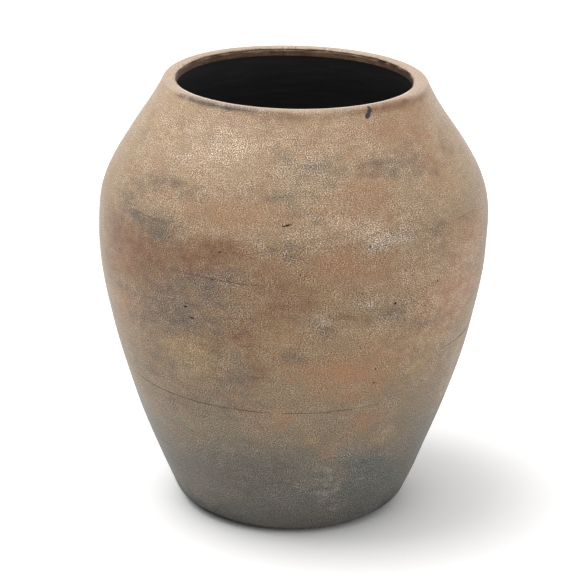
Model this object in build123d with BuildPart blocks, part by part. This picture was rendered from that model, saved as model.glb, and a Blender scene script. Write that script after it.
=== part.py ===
from build123d import *
import os
from math import cos, radians, sin, tan
from typing import NamedTuple

# A Greek pithos: a free-standing, wide-mouthed storage jar of fired clay, raised in stages.
# A floor slab carries wall drums and narrower belt coils, one on the other, and a lip ring closes the top.
# Each stage is levelled to a flat bed with a groove pressed into it, and the next stage has a tongue to suit.
# A coil pressed into the inside corner locks the wall to the floor, and a brushed coat seals the whole inside.
# Millimetres, +Z up, with the origin at the centre of the face that the jar rests on.

# Height of each stage, from the ground up
slab_thickness = 20.0
foot_drum_height = 162.0
lower_belt_height = 53.0
belly_drum_height = 110.0
upper_belt_height = 47.0
shoulder_height = 120.0
lip_height = 10.0

# Greatest outside radius, at the belly's bed, and how far the wall draws in from it at the other beds
belly_radius = 230.0
heel_draw_in = 88.5
foot_top_draw_in = 28.5
lower_belt_top_draw_in = 14.5
upper_belt_top_draw_in = 4.5

# Radius of the open mouth
mouth_radius = 137.0

# Lean of the wall from upright at each bed, in degrees, where outwards going up counts as positive
heel_lean = 22.0
foot_top_lean = 16.5
lower_belt_top_lean = 12.5
belly_lean = 0.0
upper_belt_top_lean = -15.0
neck_lean = -28.0
lip_lean = -20.0

# Thickness of the clay wall, and of the sealing coat brushed over its inside
wall_thickness = 13.0
coat_thickness = 1.0

# Groove and tongue that key each stage to the one below
key_depth = 3.0
key_mouth_width = 5.0
key_bottom_width = 2.5

# Roundings of the slab's heel and of the lip
heel_rounding = 17.0
lip_outer_rounding = 6.5
lip_inner_rounding = 2.5

# How far the lip stands into the mouth past the wall below it
lip_overhang = 3.7

# Width on the floor and height up the wall of the coil in the inside corner
coil_width = 16.0
coil_height = 16.0

# A cubic wall curve leaves each bed along the wall's lean for this share of its chord
handle_share = 1 / 3


class Bed(NamedTuple):
    """The level top of one stage: outside radius, height above the ground and lean of the wall there."""

    radius: float
    height: float
    lean: float

    def inside_radius(self, coat: float = 0.0) -> float:
        """Radius of the wall's inner face, or of the free face of a coat of that thickness on it."""
        return self.radius - (wall_thickness + coat) / cos(radians(self.lean))


def bed_above(bed: Bed, rise: float, draw_in: float, lean: float) -> Bed:
    """The bed that a stage of that height carries on its top, drawn in that far from the greatest radius."""
    return Bed(belly_radius - draw_in, bed.height + rise, lean)


neck_radius = mouth_radius + lip_overhang + wall_thickness / cos(radians(neck_lean))
slab_bed = Bed(belly_radius - heel_draw_in, slab_thickness, heel_lean)
foot_bed = bed_above(slab_bed, foot_drum_height, foot_top_draw_in, foot_top_lean)
lower_belt_bed = bed_above(foot_bed, lower_belt_height, lower_belt_top_draw_in, lower_belt_top_lean)
belly_bed = bed_above(lower_belt_bed, belly_drum_height, 0.0, belly_lean)
upper_belt_bed = bed_above(belly_bed, upper_belt_height, upper_belt_top_draw_in, upper_belt_top_lean)
neck_bed = Bed(neck_radius, upper_belt_bed.height + shoulder_height, neck_lean)
rim_height = neck_bed.height + lip_height

# The corner coil's edge on the floor, and its edge on the inner face of the foot drum
corner_radius = slab_bed.inside_radius()
coil_floor_edge = (corner_radius - coil_width, slab_thickness)
coil_wall_radius = corner_radius + coil_height * tan(radians(heel_lean))
coil_wall_edge = (coil_wall_radius, slab_thickness + coil_height)


def leaning_curve(start: tuple, start_lean: float, end: tuple, end_lean: float) -> list:
    """Control points of the cubic curve between two points of the wall, along the wall's lean at both."""
    reach = handle_share * (Vector(*end) - Vector(*start)).length
    leave = (start[0] + reach * sin(radians(start_lean)), start[1] + reach * cos(radians(start_lean)))
    arrive = (end[0] - reach * sin(radians(end_lean)), end[1] - reach * cos(radians(end_lean)))
    return [start, leave, arrive, end]


def outer_curve(lower: Bed, upper: Bed) -> list:
    """Control points of the wall's outer face between two beds."""
    return leaning_curve((lower.radius, lower.height), lower.lean, (upper.radius, upper.height), upper.lean)


def inner_curve(lower: Bed, upper: Bed, coat: float = 0.0) -> list:
    """Control points of the wall's inner face between two beds, or of the free face of a coat on it."""
    start = (lower.inside_radius(coat), lower.height)
    return leaning_curve(start, lower.lean, (upper.inside_radius(coat), upper.height), upper.lean)


def foot_inner_curve(coat: float = 0.0) -> list:
    """Control points of the foot drum's inner face above the corner coil, or of a coat on it."""
    start = (coil_wall_radius - coat / cos(radians(heel_lean)), coil_wall_edge[1])
    return leaning_curve(start, heel_lean, (foot_bed.inside_radius(coat), foot_bed.height), foot_bed.lean)


def keyed_bed(bed: Bed) -> list:
    """Points across a bed from the outer face to the inner one, down into its groove and out again."""
    middle = (bed.radius + bed.inside_radius()) / 2
    groove_bottom = bed.height - key_depth
    return [
        (bed.radius, bed.height),
        (middle + key_mouth_width / 2, bed.height),
        (middle + key_bottom_width / 2, groove_bottom),
        (middle - key_bottom_width / 2, groove_bottom),
        (middle - key_mouth_width / 2, bed.height),
        (bed.inside_radius(), bed.height),
    ]


os.makedirs("parts", exist_ok=True)

# Floor slab: a disc that flares like the wall above it, rounded at the heel and grooved for the foot drum
ground_radius = slab_bed.radius - slab_thickness * tan(radians(heel_lean))
with BuildPart() as base_slab:
    with BuildSketch(Plane.XZ) as slab_section:
        with BuildLine():
            Polyline((0, slab_thickness), (0, 0), (ground_radius, 0), (slab_bed.radius, slab_thickness))
            Polyline(*keyed_bed(slab_bed), (0, slab_thickness))
        make_face()
        heel_corner = slab_section.vertices().group_by(Axis.Y)[0].sort_by(Axis.X)[-1]
        fillet(heel_corner, radius=heel_rounding)
    revolve(axis=Axis.Z)
base_slab.part.label = "base_slab"
export_step(base_slab.part, "parts/base_slab.step")

# Corner coil: clay pressed into the inside corner between the slab and the foot drum
with BuildPart() as corner_coil:
    with BuildSketch(Plane.XZ):
        with BuildLine():
            Polyline((corner_radius, slab_thickness), coil_wall_edge, coil_floor_edge, close=True)
        make_face()
    revolve(axis=Axis.Z)
corner_coil.part.label = "corner_coil"
export_step(corner_coil.part, "parts/corner_coil.step")

# Foot drum: the flaring lowest stage, whose inner face is straight behind the corner coil
with BuildPart() as foot_drum:
    with BuildSketch(Plane.XZ):
        with BuildLine():
            Bezier(*outer_curve(slab_bed, foot_bed))
            Polyline(*keyed_bed(foot_bed))
            Bezier(*foot_inner_curve())
            Polyline(coil_wall_edge, *reversed(keyed_bed(slab_bed)))
        make_face()
    revolve(axis=Axis.Z)
foot_drum.part.label = "foot_drum"
export_step(foot_drum.part, "parts/foot_drum.step")

# Upper stages of the wall, each with a tongue below and a groove above
upper_stages = [
    ("lower_belt_coil", foot_bed, lower_belt_bed),
    ("belly_drum", lower_belt_bed, belly_bed),
    ("upper_belt_coil", belly_bed, upper_belt_bed),
    ("shoulder_drum", upper_belt_bed, neck_bed),
]
for stage_name, lower, upper in upper_stages:
    with BuildPart() as wall_stage:
        with BuildSketch(Plane.XZ):
            with BuildLine():
                Bezier(*outer_curve(lower, upper))
                Polyline(*keyed_bed(upper))
                Bezier(*inner_curve(lower, upper))
                Polyline(*keyed_bed(lower))
            make_face()
        revolve(axis=Axis.Z)
    wall_stage.part.label = stage_name
    export_step(wall_stage.part, f"parts/{stage_name}.step")

# Lip ring: a rounded rim that stands a little into the mouth, with its tongue in the shoulder's groove
rim_inner_corner = (mouth_radius, rim_height)
rim_outer_corner = (neck_radius + lip_height * tan(radians(lip_lean)), rim_height)
with BuildPart() as lip_ring:
    with BuildSketch(Plane.XZ) as lip_section:
        with BuildLine():
            Polyline(*keyed_bed(neck_bed), (mouth_radius, neck_bed.height), rim_inner_corner)
            Polyline(rim_inner_corner, rim_outer_corner, (neck_radius, neck_bed.height))
        make_face()
        rim_corners = lip_section.vertices().group_by(Axis.Y)[-1].sort_by(Axis.X)
        fillet(rim_corners[0], radius=lip_inner_rounding)
        outer_corner = lip_section.vertices().group_by(Axis.Y)[-1].sort_by(Axis.X)[-1]
        fillet(outer_corner, radius=lip_outer_rounding)
    revolve(axis=Axis.Z)
lip_ring.part.label = "lip_ring"
export_step(lip_ring.part, "parts/lip_ring.step")

# Sealing coat: one skin over the floor, the corner coil and every stage of the wall up to the lip
coil_slope = Vector(*coil_wall_edge) - Vector(*coil_floor_edge)
coil_slope_angle = Vector(1, 0).get_angle(coil_slope)
coat_corner_radius = coil_floor_edge[0] - coat_thickness * tan(radians(coil_slope_angle / 2))
coat_floor_centre = (0, slab_thickness + coat_thickness)
coat_floor_edge = (coat_corner_radius, slab_thickness + coat_thickness)
with BuildPart() as sealing_coat:
    with BuildSketch(Plane.XZ):
        with BuildLine():
            Polyline(coat_floor_centre, (0, slab_thickness), coil_floor_edge, coil_wall_edge)
            Bezier(*foot_inner_curve())
            Polyline(coat_floor_centre, coat_floor_edge, foot_inner_curve(coat_thickness)[0])
            Bezier(*foot_inner_curve(coat_thickness))
            for stage_name, lower, upper in upper_stages:
                Bezier(*inner_curve(lower, upper))
                Bezier(*inner_curve(lower, upper, coat_thickness))
            neck_inside = (neck_bed.inside_radius(), neck_bed.height)
            Line(neck_inside, (neck_bed.inside_radius(coat_thickness), neck_bed.height))
        make_face()
    revolve(axis=Axis.Z)
sealing_coat.part.label = "sealing_coat"
export_step(sealing_coat.part, "parts/sealing_coat.step")
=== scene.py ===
"""A hand-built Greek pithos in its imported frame: clay stages, a rolled lip, a black lining, a clouded skin.

The jar's beds come from the frame, and every piece is turned about the axis from a profile between two beds.
One shared set of hand marks then moves all the pieces alike, so the stages still meet. Azimuths are degrees
round the axis from the front, positive to the right. Sizes are metres where a docstring says nothing else.
"""

import logging
import math
from dataclasses import dataclass, field, replace
from enum import Enum
from typing import Optional, Sequence, Union

import bmesh
import bpy
import numpy as np
from mathutils import Matrix, Vector

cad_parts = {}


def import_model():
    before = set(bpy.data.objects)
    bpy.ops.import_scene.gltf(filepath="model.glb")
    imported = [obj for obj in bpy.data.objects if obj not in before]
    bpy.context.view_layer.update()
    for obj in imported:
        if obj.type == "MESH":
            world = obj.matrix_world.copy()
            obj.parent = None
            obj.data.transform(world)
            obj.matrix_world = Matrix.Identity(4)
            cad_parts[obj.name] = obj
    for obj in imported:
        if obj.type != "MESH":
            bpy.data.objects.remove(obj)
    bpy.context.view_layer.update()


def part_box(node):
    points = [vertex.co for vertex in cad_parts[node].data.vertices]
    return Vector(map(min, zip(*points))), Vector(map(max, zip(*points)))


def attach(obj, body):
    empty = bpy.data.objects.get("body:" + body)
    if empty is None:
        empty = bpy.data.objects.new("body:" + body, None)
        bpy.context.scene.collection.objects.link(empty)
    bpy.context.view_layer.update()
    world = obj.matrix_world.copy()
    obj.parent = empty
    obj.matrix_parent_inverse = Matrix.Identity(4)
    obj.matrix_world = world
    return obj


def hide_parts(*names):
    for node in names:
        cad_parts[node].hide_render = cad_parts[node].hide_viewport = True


MM = 0.001
# The power that turns a shade as the eye ranks it into light
EYE_POWER = 2.2
FULL_TURN = 2.0 * math.pi
BODY = "root"
WELD = 0.01 * MM
SHARP_ANGLE = math.radians(48.0)

# Sockets of a colour Mix node, whose names repeat for each kind of data
MIX_FACTOR, MIX_A, MIX_B, MIX_RESULT = 0, 6, 7, 2
# Sockets of a Map Range node, in order
RANGE_ENDS = ("From Min", "From Max", "To Min", "To Max")

Tree = bpy.types.NodeTree
# What can feed a socket: an output of a node, or a node, which stands for its first output
Feed = Union[bpy.types.NodeSocket, bpy.types.Node]

log = logging.getLogger("pithos")


def linear(hex_code: str) -> tuple[float, float, float, float]:
    """Turn an sRGB hex colour into linear light.

    Args:
        hex_code: Six hex digits, such as "B29878".

    Returns:
        Linear red, green and blue, and a full alpha.
    """
    channels = [int(hex_code[i:i + 2], 16) / 255.0 for i in (0, 2, 4)]
    return (*[c / 12.92 if c <= 0.04045 else ((c + 0.055) / 1.055) ** 2.4 for c in channels], 1.0)


def add_node(
    tree: Tree,
    kind: str,
    inputs: Optional[dict] = None,
    stops: Sequence[tuple[float, str]] = (),
    **settings: str,
) -> bpy.types.Node:
    """Add a node to a tree with its settings and links.

    Args:
        tree: Node tree that takes the node.
        kind: Blender's type name of the node, without its "ShaderNode".
        inputs: Sockets by name or number, each with a value or with what feeds it.
        stops: Positions and sRGB hex colours of a colour ramp.
        settings: Properties of the node by name.

    Returns:
        The new node.
    """
    node = tree.nodes.new("ShaderNode" + kind)
    for name, value in settings.items():
        setattr(node, name, value)
    for name, value in (inputs or {}).items():
        if isinstance(value, bpy.types.Node):
            tree.links.new(value.outputs[0], node.inputs[name])
        elif isinstance(value, bpy.types.NodeSocket):
            tree.links.new(value, node.inputs[name])
        else:
            node.inputs[name].default_value = value
    for number, (position, hex_code) in enumerate(stops):
        elements = node.color_ramp.elements
        element = elements[number] if number < len(elements) else elements.new(position)
        element.position = position
        element.color = linear(hex_code)
    return node


def empty_tree(owner: bpy.types.Material | bpy.types.World) -> Tree:
    """Switch on the nodes of a material or of the world, and clear them.

    Args:
        owner: The material or the world.

    Returns:
        Its empty node tree.
    """
    owner.use_nodes = True
    owner.node_tree.nodes.clear()
    return owner.node_tree


def smooth_step(start: float | np.ndarray, end: float | np.ndarray, values: np.ndarray) -> np.ndarray:
    """Rise from 0 at start to 1 at end, level at both."""
    share = np.clip((values - start) / (end - start), 0.0, 1.0)
    return share * share * (3.0 - 2.0 * share)


def fade(base: float | np.ndarray, span: tuple[float, float], values: np.ndarray) -> np.ndarray:
    """Rise from 0 to 1 over a span that is counted from a base."""
    return smooth_step(base + span[0], base + span[1], values)


def polar(points: np.ndarray) -> tuple[np.ndarray, np.ndarray]:
    """Azimuth of each point from the front, in radians, and its radius."""
    return np.arctan2(points[:, 0], -points[:, 1]), np.hypot(points[:, 0], points[:, 1])


def widened(points: np.ndarray, factor: np.ndarray) -> np.ndarray:
    """Points moved out from the axis, or in, each by its own factor."""
    return points * np.column_stack([factor, factor, np.ones(len(points))])


def cubic(control: np.ndarray, shares: np.ndarray) -> np.ndarray:
    """Points of a cubic curve.

    Args:
        control: Its four control points, as radius and height.
        shares: Where along its run the points lie, from 0 to 1.

    Returns:
        One radius and height for each share.
    """
    t = shares[:, None]
    return (
        (1 - t) ** 3 * control[0]
        + 3 * (1 - t) ** 2 * t * control[1]
        + 3 * (1 - t) * t**2 * control[2]
        + t**3 * control[3]
    )


def leaning_curve(start: np.ndarray, start_lean: float, end: np.ndarray, end_lean: float) -> np.ndarray:
    """Control points of a cubic that leaves two points of a wall along the wall's lean.

    Args:
        start: Radius and height of the lower point.
        start_lean: Lean there from upright, in degrees.
        end: Radius and height of the upper point.
        end_lean: Lean there from upright, in degrees.

    Returns:
        The four control points.
    """
    reach = np.linalg.norm(end - start) / 3.0
    leave = [math.sin(math.radians(start_lean)), math.cos(math.radians(start_lean))]
    arrive = [math.sin(math.radians(end_lean)), math.cos(math.radians(end_lean))]
    return np.array([start, start + reach * np.array(leave), end - reach * np.array(arrive), end])


def smooth_mesh(
    name: str, bm: bmesh.types.BMesh, material: bpy.types.Material
) -> tuple[bpy.types.Mesh, np.ndarray]:
    """Turn a bmesh into a smooth mesh with its finish, and free it.

    Args:
        name: Name of the mesh.
        bm: What it is made from.
        material: Its finish.

    Returns:
        The mesh, and its points, one to a row.
    """
    mesh = bpy.data.meshes.new(name)
    bm.to_mesh(mesh)
    bm.free()
    mesh.polygons.foreach_set("use_smooth", [True] * len(mesh.polygons))
    mesh.materials.append(material)
    points = np.empty(3 * len(mesh.vertices))
    mesh.vertices.foreach_get("co", points)
    return mesh, points.reshape(-1, 3)


def put_in_scene(name: str, data: bpy.types.ID) -> bpy.types.Object:
    """Put a mesh, a light or a camera into the scene as an object.

    Args:
        name: Name of the object.
        data: The mesh, light or camera.

    Returns:
        The object.
    """
    thing = bpy.data.objects.new(name, data)
    bpy.context.scene.collection.objects.link(thing)
    return thing


@dataclass(frozen=True)
class Bed:
    """A level joint of the wall: outside radius, height, and the wall's lean from upright in degrees."""

    radius: float
    height: float
    lean: float

    def point(self, depth: float = 0.0) -> np.ndarray:
        """Radius and height of the wall's face that lies this deep under its outside."""
        return np.array([self.radius - depth / math.cos(math.radians(self.lean)), self.height])


# For each bed: the node whose top it is, the node that is widest there, and the wall's lean in degrees
BED_NODES = (
    ("base_slab", "base_slab", 22.0),
    ("foot_drum", "foot_drum", 16.5),
    ("lower_belt_coil", "lower_belt_coil", 12.5),
    ("belly_drum", "belly_drum", 0.0),
    ("upper_belt_coil", "shoulder_drum", -15.0),
    ("shoulder_drum", "lip_ring", -28.0),
)


@dataclass(frozen=True)
class Patch:
    """A place on the wall, with its own along and across directions.

    Attributes:
        azimuth: Degrees round the jar from the front, positive to the right.
        height: Height of its middle, in millimetres.
        half_length: Half its size along the wall, in millimetres.
        half_width: Half its size across that, in millimetres.
        tilt: Degrees that its right end is turned up.
    """

    azimuth: float
    height: float
    half_length: float
    half_width: float
    tilt: float = field(default=0.0, kw_only=True)

    def distance(self, points: np.ndarray) -> np.ndarray:
        """How far points lie from the patch's middle, where 1 is its edge.

        Args:
            points: Points near the wall, one to a row.

        Returns:
            One distance for each point.
        """
        azimuth, radius = polar(points)
        turn = (azimuth - math.radians(self.azimuth) + math.pi) % FULL_TURN - math.pi
        along = turn * radius
        up = points[:, 2] - self.height * MM
        cos, sin = math.cos(math.radians(self.tilt)), math.sin(math.radians(self.tilt))
        return np.hypot(
            (along * cos + up * sin) / (self.half_length * MM),
            (up * cos - along * sin) / (self.half_width * MM),
        )


@dataclass(frozen=True)
class Cloud(Patch):
    """A soft cloud of colour on the wall, and how strong it is, from 0 to 1."""

    strength: float


@dataclass(frozen=True)
class Nick(Patch):
    """A pit, a scratch or a line in the wall's outside, and its depth in millimetres."""

    depth: float


@dataclass(frozen=True)
class Dent(Patch):
    """A broad hollow that hands left in the wall, and its depth in millimetres, below 0 for a swelling."""

    depth: float


class Kiln(Enum):
    """What fire and smoke left on the clay, by the name of the attribute that carries it."""

    # Also laid on the lip's inner band, where it is painted shade
    UMBER = "umber"
    RUST = "rust"
    SAND = "sand"
    PALE = "pale"
    BLOOM = "bloom"
    SMOKE = "smoke"
    ASH = "ash"
    SOOT = "soot"


@dataclass(frozen=True)
class RimRise:
    """A stretch where the rim stands high or the mouth is wide.

    Attributes:
        azimuth: Degrees round the jar of its middle.
        half_span: Half its span, in degrees.
        rise: How high the rim stands there, in millimetres.
        widen: How far out the mouth's edge stands there, in millimetres.
    """

    azimuth: float
    half_span: float
    rise: float
    widen: float

    def share(self, azimuth: np.ndarray) -> np.ndarray:
        """How fully it acts at those azimuths, in radians."""
        off = (np.degrees(azimuth) - self.azimuth + 180.0) % 360.0 - 180.0
        return np.exp(-((off / self.half_span) ** 2))


@dataclass(frozen=True)
class Wave:
    """One slow unevenness of the wall.

    Attributes:
        turns: How many waves go round the jar.
        rise: Height of the jar that one wave takes up, in millimetres.
        height: How far it moves the wall, in millimetres.
        phase: Its start round the jar.
        shift: Its start up the wall.
    """

    turns: int
    rise: float
    height: float
    phase: float
    shift: float

    def push(self, azimuth: np.ndarray, height: np.ndarray) -> np.ndarray:
        """How far it moves the wall outwards at those azimuths, in radians, and heights."""
        round_jar = np.sin(self.turns * azimuth + self.phase)
        return self.height * MM * round_jar * np.sin(FULL_TURN * height / (self.rise * MM) + self.shift)


@dataclass(frozen=True)
class Ruffle:
    """One small unevenness of what is laid on the wall: size and pitch in millimetres, turns and phase."""

    size: float
    pitch: float
    turns: int
    phase: float

    def shift(self, azimuth: np.ndarray, height: np.ndarray) -> np.ndarray:
        """How many millimetres it moves things at those azimuths, in radians, and heights."""
        up_wall = FULL_TURN * height / (self.pitch * MM)
        return self.size * np.sin(up_wall + self.turns * azimuth + self.phase)


WAVES = (
    Wave(2, 610.0, 0.55, 0.4, 0.3),
    Wave(3, 410.0, 0.40, 2.1, 1.2),
    Wave(4, 260.0, 0.30, 4.4, 2.6),
    Wave(5, 170.0, 0.22, 1.0, 0.9),
    Wave(7, 120.0, 0.16, 3.3, 4.1),
    Wave(9, 85.0, 0.12, 5.2, 2.2),
)

# Ruffles round the jar, and up the wall
RUFFLES_ALONG = (Ruffle(4.5, 61.0, 5, 0.3), Ruffle(3.0, 33.0, -11, 2.2), Ruffle(2.0, 17.0, 23, 4.0))
RUFFLES_UP = (Ruffle(2.4, 90.0, 9, 1.1), Ruffle(1.6, 48.0, -19, 3.1), Ruffle(1.0, 26.0, 37, 5.2))

RIM_RISES = (
    RimRise(-135.0, 40.0, 1.3, 0.0),
    RimRise(-68.0, 32.0, 0.0, 1.7),
    RimRise(58.0, 26.0, 0.0, 1.8),
)

DENTS = (
    Dent(-90.0, 366.0, 150.0, 24.0, 0.9),
    Dent(-90.0, 474.0, 130.0, 25.0, -1.8),
    Dent(90.0, 462.0, 140.0, 28.0, -0.9),
    Dent(90.0, 390.0, 150.0, 38.0, -0.8),
    Dent(-90.0, 512.0, 120.0, 24.0, -1.6),
    Dent(90.0, 514.0, 120.0, 30.0, -2.8),
    Dent(-90.0, 95.0, 140.0, 62.0, -2.0),
    Dent(90.0, 330.0, 150.0, 22.0, 0.7),
    Dent(90.0, 42.0, 140.0, 26.0, -0.9),
)

PITS = (
    Nick(-1.8, 410.0, 6.4, 0.85, 1.1, tilt=13.0),
    Nick(-31.6, 306.0, 2.6, 1.2, 1.3, tilt=-8.0),
    Nick(-29.5, 293.6, 2.8, 1.0, 1.3),
    Nick(30.2, 314.0, 2.2, 1.5, 1.3),
    Nick(45.5, 328.0, 1.4, 1.2, 0.9),
    Nick(26.1, 234.0, 1.3, 1.1, 0.9),
    Nick(26.2, 215.5, 1.6, 0.9, 0.9, tilt=10.0),
    Nick(46.0, 200.7, 1.3, 1.1, 0.9),
    Nick(19.7, 331.5, 1.2, 1.0, 0.8),
    Nick(22.0, 384.0, 1.3, 1.1, 0.9),
    Nick(-20.5, 377.0, 2.2, 0.9, 0.9, tilt=30.0),
    Nick(104.0, 282.0, 2.4, 1.1, 1.2, tilt=-6.0),
    Nick(131.0, 366.0, 1.5, 1.2, 0.9),
    Nick(162.0, 246.0, 2.6, 1.0, 1.2, tilt=8.0),
    Nick(-171.0, 331.0, 1.4, 1.2, 0.9),
    Nick(-142.0, 218.0, 2.0, 1.2, 1.1, tilt=-10.0),
    Nick(-117.0, 300.0, 1.4, 1.1, 0.9),
    Nick(-96.0, 402.0, 5.2, 0.85, 1.0, tilt=-9.0),
)

# What still shows of the beds: broken lines that sag a little between their ends
LINES = (
    Nick(-58.0, 185.6, 30.0, 0.5, 0.44, tilt=-1.6),
    Nick(-44.0, 183.6, 36.0, 0.5, 0.52, tilt=-1.3),
    Nick(-29.0, 182.3, 34.0, 0.5, 0.52, tilt=-0.8),
    Nick(-13.0, 181.6, 34.0, 0.5, 0.48, tilt=-0.2),
    Nick(4.0, 181.7, 34.0, 0.5, 0.48, tilt=0.5),
    Nick(16.0, 182.8, 26.0, 0.5, 0.46, tilt=1.3),
    Nick(26.0, 184.3, 16.0, 0.5, 0.40, tilt=2.0),
    Nick(57.0, 236.6, 22.0, 0.55, 0.50, tilt=0.5),
    Nick(67.0, 237.2, 22.0, 0.55, 0.55, tilt=0.5),
    Nick(-35.0, 347.6, 20.0, 0.5, 0.24, tilt=-2.6),
    Nick(-28.0, 346.2, 22.0, 0.5, 0.38, tilt=-3.0),
    Nick(-21.0, 344.8, 20.0, 0.55, 0.52, tilt=-3.4),
    Nick(-15.5, 343.8, 15.0, 0.55, 0.58, tilt=-3.0),
    Nick(-10.0, 343.2, 14.0, 0.5, 0.26, tilt=-2.0),
    Nick(47.0, 391.0, 26.0, 0.45, 0.26),
    Nick(60.0, 391.0, 28.0, 0.45, 0.38),
    Nick(-49.0, 398.4, 46.0, 0.6, 0.26, tilt=-3.0),
    Nick(-46.0, 277.0, 16.0, 0.4, 0.24, tilt=-2.0),
    Nick(-42.0, 268.5, 12.0, 0.4, 0.22, tilt=-3.0),
    Nick(-59.0, 301.0, 14.0, 0.4, 0.22),
    Nick(55.0, 279.0, 24.0, 0.4, 0.22),
    Nick(122.0, 183.0, 46.0, 0.5, 0.34, tilt=-1.0),
    Nick(149.0, 181.8, 50.0, 0.5, 0.40),
    Nick(176.0, 182.8, 46.0, 0.5, 0.34, tilt=1.0),
    Nick(-128.0, 235.4, 62.0, 0.5, 0.36, tilt=0.5),
    Nick(118.0, 345.4, 54.0, 0.5, 0.36, tilt=-0.8),
    Nick(-160.0, 391.6, 56.0, 0.5, 0.36, tilt=0.6),
)

MARKS = PITS + LINES

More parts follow.
